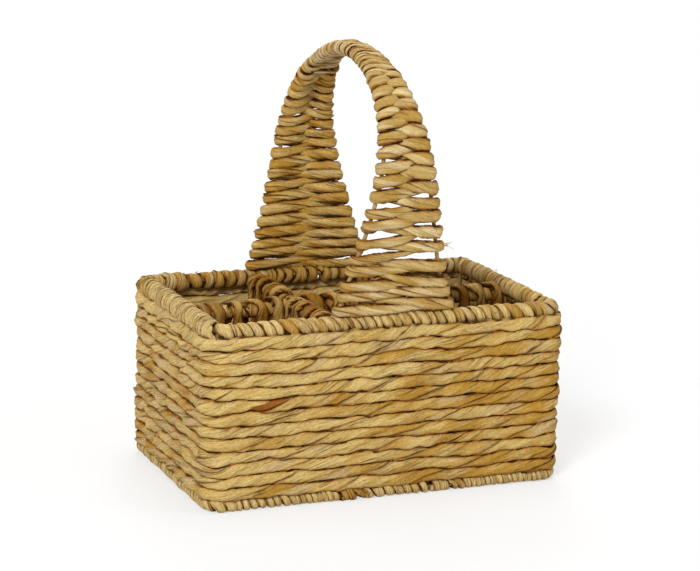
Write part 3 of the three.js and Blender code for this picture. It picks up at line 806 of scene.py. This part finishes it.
# Rim and base: a stem wound round each hoop, in stretches
flatTurns = {"overlap": 0.92, "shingle": 0.12,
             "look": {"boxy": 2.3, "faces": 5, "lip": 0.5, "fold": 0.55, "crevice": 0.7, "warm": 0.55}}
closeTurns = {"overlap": 0.62, "shingle": 0.15}
# what every stretch has unless its row says otherwise, and how much one turn differs from the next
wound = {
    "uneven": 1.0, "tip": 0.3, "overlap": 0.515, "shingle": 0.0,
    "widthVary": 0.28, "tiltVary": 0.35, "reachVary": 0.45, "shadeVary": 0.12, "widest": 1.4, "cornerOpen": 0.85,
}
# wall, begin and end as shares of it, pitch, half thickness, reach from the hoop, lean and slant of the turns,
# width of the first turn, shade
stretchKeys = ("wall", "from", "to", "pitch", "thick", "reach", "lean", "slant", "first", "shade")
rim = {
    "stretches": [
        (0, -0.026, 0.155, 7.8, 3.0, 6.9, -1.0, 0.6, 1.4, 0.85, {}),
        (0, 0.165, 0.40, 8.6, 3.2, 7.1, -2.4, 1.8, 1.3, 0.4, {"uneven": 1.6}),
        (0, 0.40, 0.78, 7.4, 3.0, 6.9, -1.4, 1.0, 1.0, 0.6, {}),
        (0, 0.78, 1.06, 8.2, 3.1, 7.0, -1.6, 1.2, 1.1, 0.4, {}),
        (1, 0.09, 1.05, 7.4, 3.0, 6.9, -1.2, 1.0, 1.0, 0.5, {}),
        (2, 0.04, 0.45, 8.4, 3.1, 6.9, -1.4, 1.2, 1.0, 0.2, {"uneven": 1.6}),
        (2, 0.45, 0.875, 8.6, 3.1, 7.0, -2.0, 1.6, 1.0, 0.0, {"uneven": 1.9}),
        (2, 0.865, 0.935, 9.0, 3.2, 8.2, -3.0, 2.6, 1.0, 0.4, {}),
        (2, 0.93, 1.06, 6.2, 1.9, 7.4, -1.2, 1.4, 1.0, 0.6, flatTurns),
        (3, 0.05, 0.958, 6.0, 1.7, 8.2, -1.2, 1.8, 1.0, 0.8, {"tip": 1.4, **flatTurns}),
    ],
    "perTurn": 20, "flatten": 1.0, "lift": -0.6,
    # place, way, fibres, length
    "frays": [
        ((-144.5, -86.0, 143.5), (-0.1, -0.6, 0.7), 4, 3.2), ((-43.2, -95.8, 141.0), (-0.5, -0.6, -0.7), 6, 4.5),
        ((-96.0, 91.0, 144.4), (0.8, 0.2, 0.4), 4, 3.2), ((-145.6, 20.0, 144.4), (-0.5, 0.8, 0.4), 4, 3.4),
        ((84.0, -95.0, 143.0), (0.8, -0.5, 0.3), 4, 3.0), ((145.6, 30.0, 144.4), (0.4, 0.8, 0.4), 4, 3.2),
    ],
    "look": {"sides": 16, "twist": 80.0, "vary": 0.6, "boxy": 2.0, "faces": 3, "flat": 0.16, "lip": 0.45,
             "groove": 0.2, "fold": 0.35, "lump": 0.035, "line": 0.77, "ramp": 0.08, "crevice": 0.95, "warm": 0.8},
    "seed": 5200,
}
base = {
    "stretches": [
        (0, 0.0, 0.20, 6.4, 2.3, 6.2, -1.2, 0.8, 1.2, 1.15, {}),
        (0, 0.20, 0.33, 4.6, 2.0, 5.9, -1.0, 0.6, 1.0, 0.95, closeTurns),
        (0, 0.408, 0.60, 7.4, 2.5, 6.4, -1.6, 0.8, 1.2, 1.1, {}),
        (0, 0.705, 1.06, 4.4, 2.0, 5.9, -1.0, 0.6, 1.2, 1.2, closeTurns),
        (1, 0.05, 1.06, 5.6, 2.2, 6.0, -1.2, 0.8, 1.0, 1.1, {}),
        (2, 0.03, 1.05, 6.2, 2.3, 6.2, -1.2, 0.8, 1.0, 0.9, {}),
        (3, 0.05, 1.05, 5.8, 2.2, 6.2, -1.4, 1.2, 1.0, 1.1, {}),
        # the rest of the front, with two rough joins
        (0, 0.325, 0.405, 6.2, 2.4, 6.7, -3.4, 2.2, 1.0, -0.5, {"uneven": 1.9}),
        (0, 0.605, 0.665, 4.6, 2.1, 6.0, -1.0, 0.6, 1.2, 1.0, closeTurns),
        (0, 0.665, 0.705, 5.6, 2.4, 6.7, -2.8, 2.0, 1.0, 0.2, {"uneven": 1.8}),
    ],
    "perTurn": 18, "flatten": 1.24, "lift": 1.9,
    "frays": [((-60.0, -95.0, 4.0), (0.6, -0.7, 0.1), 4, 3.2), ((30.0, -95.0, 3.5), (-0.6, -0.7, 0.1), 4, 3.0)],
    "look": {"sides": 12, "twist": 90.0, "vary": 0.6, "boxy": 2.05, "faces": 3, "flat": 0.10, "lip": 0.25,
             "groove": 0.15, "fold": 0.3, "lump": 0.035, "line": 0.73, "ramp": 0.08, "crevice": 1.0, "warm": 0.8},
    "seed": 6300,
}


def woundStretch(lap, z, row, shape, seed):
    rng = np.random.default_rng(seed)
    stretch = {**wound, **dict(zip(stretchKeys, row)), **row[-1]}
    start, run = lap["starts"][stretch["wall"]], lap["runs"][stretch["wall"]]
    whole = run + lap["arc"]
    begin, end = start + whole * stretch["from"], start + whole * stretch["to"]
    turns = max(2, round((end - begin) / stretch["pitch"]))
    uneven, overlap = stretch["uneven"], stretch["overlap"]
    widths = 1 + uneven * rng.uniform(-wound["widthVary"], wound["widthVary"], turns)
    widths[0] = stretch["first"]
    widths *= turns / widths.sum()
    marks = begin + (end - begin) / turns * np.concatenate([[0], np.cumsum(widths)])
    grow = rng.uniform(-1, 1, turns + 1)
    tilt = 1 + wound["tiltVary"] * uneven * rng.uniform(-1, 1, turns + 1)
    turn = np.linspace(0, turns, turns * shape["perTurn"] + 1)
    nearest = np.arange(turns + 1)
    pace = np.interp(turn, nearest[:-1] + 0.5, widths) * (end - begin) / turns
    angle = rng.uniform(0, 6.28) - 2 * np.pi * turn
    tilt = np.interp(turn, nearest, tilt)
    d = np.interp(turn, nearest, marks) + tilt * (stretch["lean"] * np.sin(angle) + stretch["slant"] * np.cos(angle))
    centre, outs = lap["at"](d)
    around = outs * np.cos(angle)[:, None] + np.outer(np.sin(angle), axisZ)
    reach = stretch["reach"] + wound["reachVary"] * uneven * np.interp(turn, nearest, grow)
    ease = np.clip(np.minimum(turn, turns - turn) / stretch["tip"], 0, 1) ** 0.5
    thick = stretch["thick"] * (0.45 + 0.55 * ease)
    wide = np.minimum(pace * overlap, stretch["pitch"] * wound["widest"] * overlap) * (0.4 + 0.6 * ease)
    away = reach - thick
    bend = lap["bend"](d)
    wide = wide * np.clip(1 + wound["cornerOpen"] * bend * away * np.cos(angle) / lap["radius"], 0.4, 1.7)
    points = (centre + axisZ * z + outs * (shape["flatten"] * away * np.cos(angle))[:, None]
              + np.outer(away * np.sin(angle), axisZ))
    shingle = stretch["shingle"] * (1 + 0.5 * np.interp(turn, nearest, rng.uniform(-1, 1, turns + 1)))
    around = unit(around + shingle[:, None] * np.cross(unit(np.gradient(points, axis=0)), around))
    shade = stretch["shade"] + rng.uniform(-wound["shadeVary"], wound["shadeVary"])
    look = {**shape["look"], "shade": shade, **stretch.get("look", {})}
    return strand(points, around, thick, wide, look, seed + 1)


def makeWraps():
    for name, node, shape, inset, z in (("rimWrap", "rim_wrap", rim, basket["frameInset"], basket["rimZ"]),
                                        ("baseWrap", "base_wrap", base, basket["baseInset"], basket["baseZ"])):
        lap = makeLap(inset)
        parts = [woundStretch(lap, z + shape["lift"], row, shape, shape["seed"] + 50 * i)
                 for i, row in enumerate(shape["stretches"])]
        for i, tuft in enumerate(shape["frays"]):
            parts += frayTuft(*tuft, shape["seed"] + 800 + i)
        if node == "base_wrap":
            for part in parts:
                part["verts"][:, 2] = np.maximum(part["verts"][:, 2], 0)
        makePiece(name, parts, wrapStem, [node])


makeWraps()
print("rim and base wound")


# Floor: one stem laid to and fro over the floor rods
floorLay = {
    "wide": 10.0, "thick": 6.5, "runs": 14, "pitch": 12.0, "ringStep": 2.6, "tipLength": 8,
    "look": {"sides": 20, "twist": -62.0, "vary": 0.8, "boxy": 2.2, "faces": 4, "flat": 0.3, "lip": 0.9,
             "groove": 0.35, "fold": 0.4, "lump": 0.02, "crevice": 0.6},
    "seed": 7400,
}


def makeFloorLay():
    half = frameX - basket["wire"] / 2 - basket["fit"] - (floorLay["wide"] + floorLay["pitch"]) / 2
    z = basket["baseTop"] + 2 * basket["fit"] + basket["wire"] + floorLay["thick"] / 2
    points = []
    for run in range(floorLay["runs"]):
        heading = 1 if run % 2 == 0 else -1
        y = floorLay["pitch"] * (run - (floorLay["runs"] - 1) / 2)
        xs = np.arange(-half, half, floorLay["ringStep"])
        points.extend((heading * x, y, z) for x in xs)
        if run < floorLay["runs"] - 1:
            for swing in np.linspace(0, np.pi, 10)[:-1]:
                points.append((heading * (half + floorLay["pitch"] / 2 * math.sin(swing)),
                               y + floorLay["pitch"] / 2 * (1 - math.cos(swing)), z))
    points = np.array(points)
    s = distances(points)
    wide = floorLay["wide"] / 2 * (1.21 + 0.05 * wander(floorLay["seed"] + 7, s[-1], 90)(s))
    ease = 0.4 + 0.6 * np.clip(np.minimum(s, s[-1] - s) / floorLay["tipLength"], 0, 1) ** 0.5
    outs = np.broadcast_to(axisZ, points.shape)
    part = strand(points, outs, floorLay["thick"] / 2 * ease, wide * ease, floorLay["look"], floorLay["seed"])
    makePiece("floorStrand", [part], shadedInnerStem, ["floor_strand"])


makeFloorLay()
print("floor laid")


# Dividers: a stem woven between a top and a bottom rod and hooked over the top one, which is bound first
divider = {
    "turns": {"long": 5, "cross": 4}, "broad": {"long": 1.0, "cross": 1.2}, "rimInset": 6.5, "crossingHalf": 8.0,
    "passHalfWide": 4.3, "passHalfThick": 2.3, "hookHalfWide": 5.2, "hookHalfThick": 2.0,
    "passSteps": 44, "hookSteps": 14, "footSteps": 10,
    # least and most of what differs from hook to hook, and how far a pass leans
    "hookStep": (0.6, 1.35), "hookLift": (-0.7, 2.1), "hookSway": (-2.8, 2.8), "hookBulk": (-0.26, 0.16),
    "passLean": (-2.0, 2.0),
    # painted light: the strand is drawn paler, as if lit, where it hooks over the rod and darker below: how far below
    # the rod that starts, and over what height
    "paintedTopLight": 0.34, "paintedLightBelow": 12, "paintedLightOver": 14, "fade": 0.34, "fadeWave": 60,
    "bindHalfThick": 2.0, "bindHalfWide": 6.0, "bindPerTurn": 18, "bindWeave": 3.0, "bindEnd": 2,
    "lashTurns": 2.4, "lashSteps": 60, "lashReach": 5.4, "lashHeight": 5.6, "lashHalfWide": 2.6,
    "look": {"sides": 20, "twist": 74.0, "vary": 1.1, "boxy": 2.4, "faces": 4, "flat": 0.34, "lip": 0.9,
             "groove": 0.35, "fold": 0.6, "lump": 0.03, "line": 0.76, "ramp": 0.09, "crevice": 0.9},
    "seed": 8500,
}


def makeBinding(along, across, middle, begin, end, z, turns, broad, seed):
    rng = np.random.default_rng(seed)
    marks = np.concatenate([[0], np.cumsum(rng.uniform(0.8, 1.2, turns))])
    margin = divider["bindEnd"]
    marks = begin + margin + (end - begin - 2 * margin) * marks / marks[-1]
    turn = np.linspace(0, turns, turns * divider["bindPerTurn"])
    angle = 2 * np.pi * turn + 0.6
    travel = np.interp(turn, np.arange(turns + 1), marks) + divider["bindWeave"] * np.cos(angle)
    face = np.outer(np.cos(angle), across) + np.outer(np.sin(angle), axisZ)
    points = middle + np.outer(travel, along) + axisZ * z + face * (basket["wire"] / 2 + divider["bindHalfThick"])
    ease = 0.5 + 0.5 * np.clip(np.minimum(turn, turns - turn) / 0.3, 0, 1)
    look = dict(divider["look"], sides=12, twist=90.0, lip=0.35, fold=0.2, shade=rng.uniform(0.3, 0.7))
    wide = broad * divider["bindHalfWide"] * ease
    return strand(points, face, divider["bindHalfThick"] * ease, wide, look, seed + 1)


def makeLashing(middle, z, seed):  # ties the two rods where they cross
    parts = []
    for i, way in enumerate(((1.0, 0.8, 0), (0.9, -1.0, 0))):
        way = unit(np.array(way, float))
        drift = np.cross(way, axisZ)
        a = np.linspace(0, 2 * np.pi * divider["lashTurns"], divider["lashSteps"])
        face = np.outer(np.cos(a), way) + np.outer(np.sin(a), axisZ)
        points = middle + axisZ * z + np.outer(divider["lashReach"] * np.cos(a), way)
        points = points + np.outer((divider["lashHeight"] + 0.5 * i) * np.sin(a), axisZ)
        points = points + np.outer(np.linspace(-1, 1, len(a)) * divider["lashHalfWide"], drift)
        look = dict(divider["look"], sides=12, lip=0.4, fold=0.2, shade=0.55)
        sizes = closedTips(np.full(len(a), 1.6), np.full(len(a), 2.5))
        parts.append(strand(points, face, *sizes, look, seed + 5 * i))
    return parts


def makeDivider(name, node, kind, along, across, middle, begin, end, top, bottom, seed, tied=False):
    rng = np.random.default_rng(seed)
    turns, broad = divider["turns"][kind], divider["broad"][kind]
    passWide, hookWide = broad * divider["passHalfWide"], broad * divider["hookHalfWide"]
    passThick, hookThick = divider["passHalfThick"], divider["hookHalfThick"]
    pitch = (end - begin - 2 * passWide) / (turns - 0.5)
    hook = basket["wire"] / 2 + 1.6 * divider["bindHalfThick"] + hookThick
    foot = basket["wire"] / 2 + hookThick
    points, faces, thick, wide = [], [], [], []

    def put(travel, offset, z, face, tight, bulk=1.0):
        points.append(middle + along * (begin + passWide + travel) + across * offset + axisZ * z)
        faces.append(face)
        thick.append((passThick + tight * (hookThick - passThick)) * bulk)
        wide.append((passWide + tight * (hookWide - passWide)) * bulk)

    def runPass(travel, fromZ, toZ, fromReach, toReach, sign):  # from the front of one rod to the back of the other
        lean = rng.uniform(*divider["passLean"])
        for t in np.linspace(0, 1, divider["passSteps"])[1:-1]:
            reach = fromReach + (toReach - fromReach) * t
            put(travel + lean * math.sin(math.pi * t), -reach * math.cos(math.pi * t), fromZ + (toZ - fromZ) * t,
                across * sign, max(0.0, 1 - min(t, 1 - t) * 6))

    for turn in range(turns):
        t0 = pitch * turn
        runPass(t0, bottom, top, foot, hook, 1)
        step = pitch / 2 * rng.uniform(*divider["hookStep"])
        lift, sway, bulk = (rng.uniform(*divider[key]) for key in ("hookLift", "hookSway", "hookBulk"))
        for share in np.linspace(0, 1, divider["hookSteps"]):
            a = math.pi * share
            face = across * math.cos(a) + axisZ * math.sin(a)
            reach = hook + lift * math.sin(a)
            put(t0 + step * (0.5 - 0.5 * math.cos(a)) + sway * math.sin(a), reach * math.cos(a),
                top + reach * math.sin(a), face, 1, 1 + bulk * math.sin(a))
        runPass(t0 + step, top, bottom, hook, foot, -1)
        if turn < turns - 1:
            for share in np.linspace(0, 1, divider["footSteps"]):
                a = math.pi * share
                face = across * math.cos(a) - axisZ * math.sin(a)
                put(t0 + step + (pitch - step) * share, foot * math.cos(a), bottom - foot * math.sin(a), -face, 1)
    points, faces = np.array(points), np.array(faces)
    s = distances(points)
    swell = np.clip(1 + 0.20 * wander(seed + 7, s[-1], 30)(s), 0.65, 1.35)
    look = dict(divider["look"], shade=rng.uniform(0.10, 0.40))
    thick, wide = closedTips(np.array(thick), np.array(wide) * swell)
    part = strand(points, faces, thick, wide, look, seed)
    # painted light towards the top of the divider, painted shade deeper down
    height = points[:, 2] - top + divider["paintedLightBelow"]
    paintedLit = divider["paintedTopLight"] * np.clip(height / divider["paintedLightOver"], 0, 1)
    faded = divider["fade"] * wander(seed + 17, s[-1], divider["fadeWave"])(s)
    part["shade"][:-2] += np.repeat(paintedLit + faded, look["sides"])
    binding = makeBinding(along, across, middle, begin, end, top, turns + 1, broad, seed + 13)
    lashing = makeLashing(middle, top - (basket["wire"] + basket["fit"]) / 2, seed + 29) if tied else []
    makePiece(name, [part, binding, *lashing], shadedInnerStem, [node])


def makeDividers():
    innerX, innerY = frameX - divider["rimInset"], frameY - divider["rimInset"]
    step = basket["wire"] + basket["fit"]
    top, bottom = basket["crossRodTop"], basket["crossRodBottom"]
    cross, half = basket["crossX"], divider["crossingHalf"]
    spans = (("left", -innerX, -cross - half), ("middle", -cross + half, cross - half),
             ("right", cross + half, innerX))
    for i, (place, begin, end) in enumerate(spans):
        makeDivider(f"longDivider{place.title()}", f"long_divider_{place}", "long", axisX, axisY, np.zeros(3),
                    begin, end, top - step, bottom + step, divider["seed"] + 60 * i)
    for i, (endName, sx) in enumerate((("left", -1), ("right", 1))):
        middle = axisX * sx * cross
        for j, (sideName, begin, end) in enumerate((("front", -innerY, -half), ("rear", half, innerY))):
            makeDivider(f"crossDivider{sideName.title()}{endName.title()}", f"cross_divider_{sideName}_{endName}",
                        "cross", axisY, axisX, middle, begin, end, top, bottom,
                        divider["seed"] + 300 + 120 * i + 60 * j, sideName == "front")


makeDividers()
print("dividers woven")


# Handle windings: the legs woven in a figure of eight, the top plainly wound
legs = {
    "frontLeft": [7.2, 18.2, 26.8, 39.5, 48.2, 61.2, 75.5, 85.4, 98.5, 109.5, 119.5, 130.5, 141.0, 150.9, 159.8,
                  168.8, 178.7, 188.6, 198.0],
    "frontRight": [6.9, 18.5, 26.4, 39.7, 56.5, 68.6, 82.0, 91.8, 103.7, 114.7, 124.6, 135.0, 145.2, 156.1, 166.8,
                   176.6, 186.4, 195.5, 204.0],
    "rearBegin": 336.5, "rearEnd": 512.5, "rearTurns": 21, "rearLag": 0.42, "rearShadedTone": 0.42,
    "arcSteps": 9, "passSteps": 18, "share": {-1: 0.44, 1: 0.46}, "spacing": (8.0, 12), "knuckleClimb": 1.4,
    # least and most of what differs from pass to pass, thickness of a pass halfway and where it tucks under
    "size": (0.92, 1.08), "sag": (-0.8, 1.0), "further": (-0.16, 0.18), "midThick": 2.5, "tuckThick": 0.86,
    # fill: how closely the passes lie, by distance along the handle
    # fall: width of a pass from its own knuckle to where it tucks under, for the left and the right side
    "front": {
        "fill": ([0, 40, 50, 95, 110, 210], [1.04, 1.03, 0.95, 0.98, 1.18, 1.28]), "cross": 2.1, "stray": 4.0,
        "fall": {-1: [0.90, 1.02, 0.74, 0.48, 0.40], 1: [1.0, 1.04, 0.72, 0.46, 0.40]},
        "tuckShare": 0.42, "halfThick": {-1: 2.25, 1: 2.7},
    },
    "rear": {
        "fill": ([336, 511], [1.17, 1.15]), "cross": 1.3, "stray": 2.6,
        "fall": {-1: [0.95, 0.98, 0.80, 0.90, 0.96], 1: [0.95, 0.98, 0.80, 0.90, 0.98]},
        "tuckShare": 0.96, "halfThick": {-1: 2.9, 1: 2.8},
    },
    "top": {"begin": 199.0, "end": 257.5, "turns": 9, "thick": 2.1, "wideShare": 0.64, "hand": -1, "skew": 1.8,
            "shingle": 0.18, "spread": 0.0, "uneven": 0.20},
    "topLook": {"sides": 18, "lip": 0.6, "shade": 0.46},
    # a plain turn: shares of it on a bend and on a pass, slip, least and most width, widths outside and inside
    "plain": {"bend": 0.12, "pass": 0.38, "slip": 0.22, "size": (0.88, 1.22), "outer": 1.04, "inner": 0.78,
              "bendSteps": 8, "passSteps": 7},
    # spread: how much the turns open out from the first to the last
    "grip": {"begin": 258.5, "end": 337.5, "turns": 15, "thick": 2.0, "wideShare": 0.53, "hand": 1, "skew": 1.8,
             "shingle": 0.10, "spread": 0.40, "uneven": 0.30},
    "look": {"sides": 32, "twist": 72.0, "vary": 0.9, "boxy": 2.15, "faces": 4, "flat": 0.42, "lip": 1.0,
             "groove": 0.45, "fold": 0.6, "lump": 0.03, "line": 0.78, "ramp": 0.10, "crevice": 1.0, "split": 0.7},
    "thinLook": {"sides": 14, "twist": 84.0, "vary": 0.8, "boxy": 2.2, "faces": 3, "flat": 0.18, "lip": 0.45,
                 "groove": 0.2, "fold": 0.4, "lump": 0.07, "line": 0.62, "ramp": 0.12, "crevice": 1.0, "shade": 0.80,
                 "fade": (0.34, 42)},
    "fray": {"at": 57.5, "off": (5.5, 3.5), "way": (0.85, -0.30, 0.40), "count": 12, "length": 6.0},
    "seed": 9600,
}


def figureEight(knuckles, leg, seed):
    rng = np.random.default_rng(seed)
    distances = np.array([d for _, d in knuckles])
    reach = {side: basket["wire"] / 2 + thick for side, thick in leg["halfThick"].items()}
    climb = legs["knuckleClimb"]
    points, faces, thick, wide = [], [], [], []
    for i, (side, d) in enumerate(knuckles):
        nearby = [abs(distances[j] - d) for j in (i - 2, i + 2) if 0 <= j < len(knuckles)]
        spacing = np.clip(np.mean(nearby), *legs["spacing"])
        full = spacing * legs["share"][side] * np.interp(d, *leg["fill"]) * rng.uniform(*legs["size"])
        own, tuck = leg["fall"][side], leg["tuckShare"]
        sign = 1 if side < 0 else -1
        angle = np.linspace(-np.pi / 2, np.pi / 2, legs["arcSteps"])
        centre, out, half = handleAt(d + climb * angle / np.pi)
        face = np.outer(side * np.cos(angle), axisX) + out * np.sin(angle)[:, None]
        points.append(centre + np.outer(side * half, axisX) + face * reach[side])
        faces.append(face * sign)
        early = np.clip((angle + np.pi / 2) / 1.2, 0, 1)
        wide.append(full * (tuck + (own[0] - tuck) * early))
        thick.append(leg["halfThick"][side] * (legs["tuckThick"] + (1 - legs["tuckThick"]) * early))
        if i == len(knuckles) - 1:
            break
        following = knuckles[i + 1][1]
        t = np.linspace(0, 1, legs["passSteps"])[1:-1]
        ease = t + 0.13 * np.sin(2 * np.pi * t) * rng.uniform(-1, 1)
        centre, out, half = handleAt((d + climb / 2) + (following - d - climb) * ease)
        sag = rng.uniform(*legs["sag"]) * np.sin(np.pi * t)
        away = reach[side] + (reach[-side] - reach[side]) * t
        further = rng.uniform(*legs["further"])
        offset = away * np.cos(np.pi * t ** (leg["cross"] + leg["stray"] * further)) + sag
        points.append(centre + np.outer(side * half * (1 - 2 * t), axisX) + out * offset[:, None])
        faces.append(out * sign)
        late = t - further * np.clip((t - 0.2) / 0.2, 0, 1)
        wide.append(full * np.interp(late, [0, 0.25, 0.5, 0.75, 1], own))
        sizes = [leg["halfThick"][side], legs["midThick"], legs["tuckThick"] * leg["halfThick"][-side]]
        thick.append(np.interp(t, [0, 0.5, 1], sizes))
    return [np.concatenate(rows) for rows in (points, faces, thick, wide)]


def plainWrap(shape, seed):
    rng = np.random.default_rng(seed)
    hand, halfThick, plain = shape["hand"], shape["thick"], legs["plain"]
    radius = basket["wire"] / 2 + halfThick
    length, turns, spread = shape["end"] - shape["begin"], shape["turns"], shape["spread"]
    points, faces, thick, wide = [], [], [], []

    def reached(turn):
        share = turn / turns
        return shape["begin"] + length * ((1 - spread) * share + spread * share ** 2)

    for turn in range(turns):
        pitch = length / turns * (1 + spread * (2 * turn / turns - 1))
        slip = rng.uniform(-plain["slip"], plain["slip"]) * pitch
        size = shape["wideShare"] * pitch * rng.uniform(*plain["size"])
        plump = halfThick * (1 + shape["uneven"] * rng.uniform(-1, 1))
        for side, forward, shift in ((-hand, 1, 0.0), (hand, -1, 0.5)):
            tilt = forward * shape["skew"]
            angle = np.linspace(-np.pi / 2, np.pi / 2, plain["bendSteps"])
            at = slip + reached(turn + shift + plain["bend"] * (angle / np.pi + 0.5)) - tilt * np.sin(angle) * 0.5
            centre, out, half = handleAt(at)
            face = np.outer(side * np.cos(angle), axisX) + forward * out * np.sin(angle)[:, None]
            points.append(centre + np.outer(side * half, axisX) + face * radius)
            faces.append(face)
            t = np.linspace(0, 1, plain["passSteps"])[1:-1]
            at = slip + reached(turn + shift + plain["bend"] + plain["pass"] * t) - tilt * (0.5 - t)
            centre, out, half = handleAt(at)
            points.append(centre + np.outer(side * half * (1 - 2 * t), axisX) + forward * out * radius)
            faces.append(forward * out)
            count = len(angle) + len(t)
            thick.append(np.full(count, plump))
            wide.append(np.full(count, size * plain["outer" if forward > 0 else "inner"]))
    points, faces, thick, wide = [np.concatenate(rows) for rows in (points, faces, thick, wide)]
    along = unit(np.gradient(points, axis=0))
    tilted = unit(faces + shape["shingle"] * np.cross(along, faces))
    return points, tilted, thick, wide


def woundPart(path, look, seed, evened, settled):  # a strand on a wound path, its sizes and its line smoothed
    points, faces, thick, wide = path
    thick, wide = closedTips(smoothed(thick, evened), smoothed(wide, evened))
    return strand(smoothed(points, settled), faces, thick, wide, look, seed)


def makeHandle():
    seed, look, fray = legs["seed"], legs["look"], legs["fray"]
    pairs = zip(legs["frontLeft"], legs["frontRight"])
    front = [knuckle for left, right in pairs for knuckle in ((-1, left), (1, right))]
    legPart = woundPart(figureEight(front, legs["front"], seed), look, seed + 1, 3, 2)
    topPart = woundPart(plainWrap(legs["top"], seed + 2), {**look, **legs["topLook"]}, seed + 3, 4, 1)
    centre, out, half = handleAt(fray["at"])
    place = centre[0] + axisX * (half[0] + fray["off"][0]) + out[0] * fray["off"][1]
    tuft = frayTuft(place, fray["way"], fray["count"], fray["length"], seed + 40)
    makePiece("frontLegWinding", [legPart, topPart, *tuft], legStem, ["front_leg_winding"])

    gripPart = woundPart(plainWrap(legs["grip"], seed + 4), legs["thinLook"], seed + 5, 3, 1)
    makePiece("gripWinding", [gripPart], gripStem, ["grip_winding"])

    rng = np.random.default_rng(seed + 6)
    marks = np.concatenate([[0], np.cumsum(rng.uniform(0.8, 1.22, legs["rearTurns"]))])
    marks = legs["rearBegin"] + (legs["rearEnd"] - legs["rearBegin"]) * marks / marks[-2]
    rear = []
    for mark, following in zip(marks[:-1], marks[1:]):
        lag = (following - mark) * legs["rearLag"] * rng.uniform(0.6, 1.3)
        rear += [(-1, mark), (1, mark + lag)]
    # painted shade: the rear leg, whose inner face is in shade, gets the wall's more golden stem and a darker tone
    rearShadedLook = dict(look, shade=legs["rearShadedTone"])
    rearPart = woundPart(figureEight(rear, legs["rear"], seed + 7), rearShadedLook, seed + 8, 3, 2)
    makePiece("rearLegWinding", [rearPart], wallStem, ["rear_leg_winding"])


makeHandle()
print("handle wound")
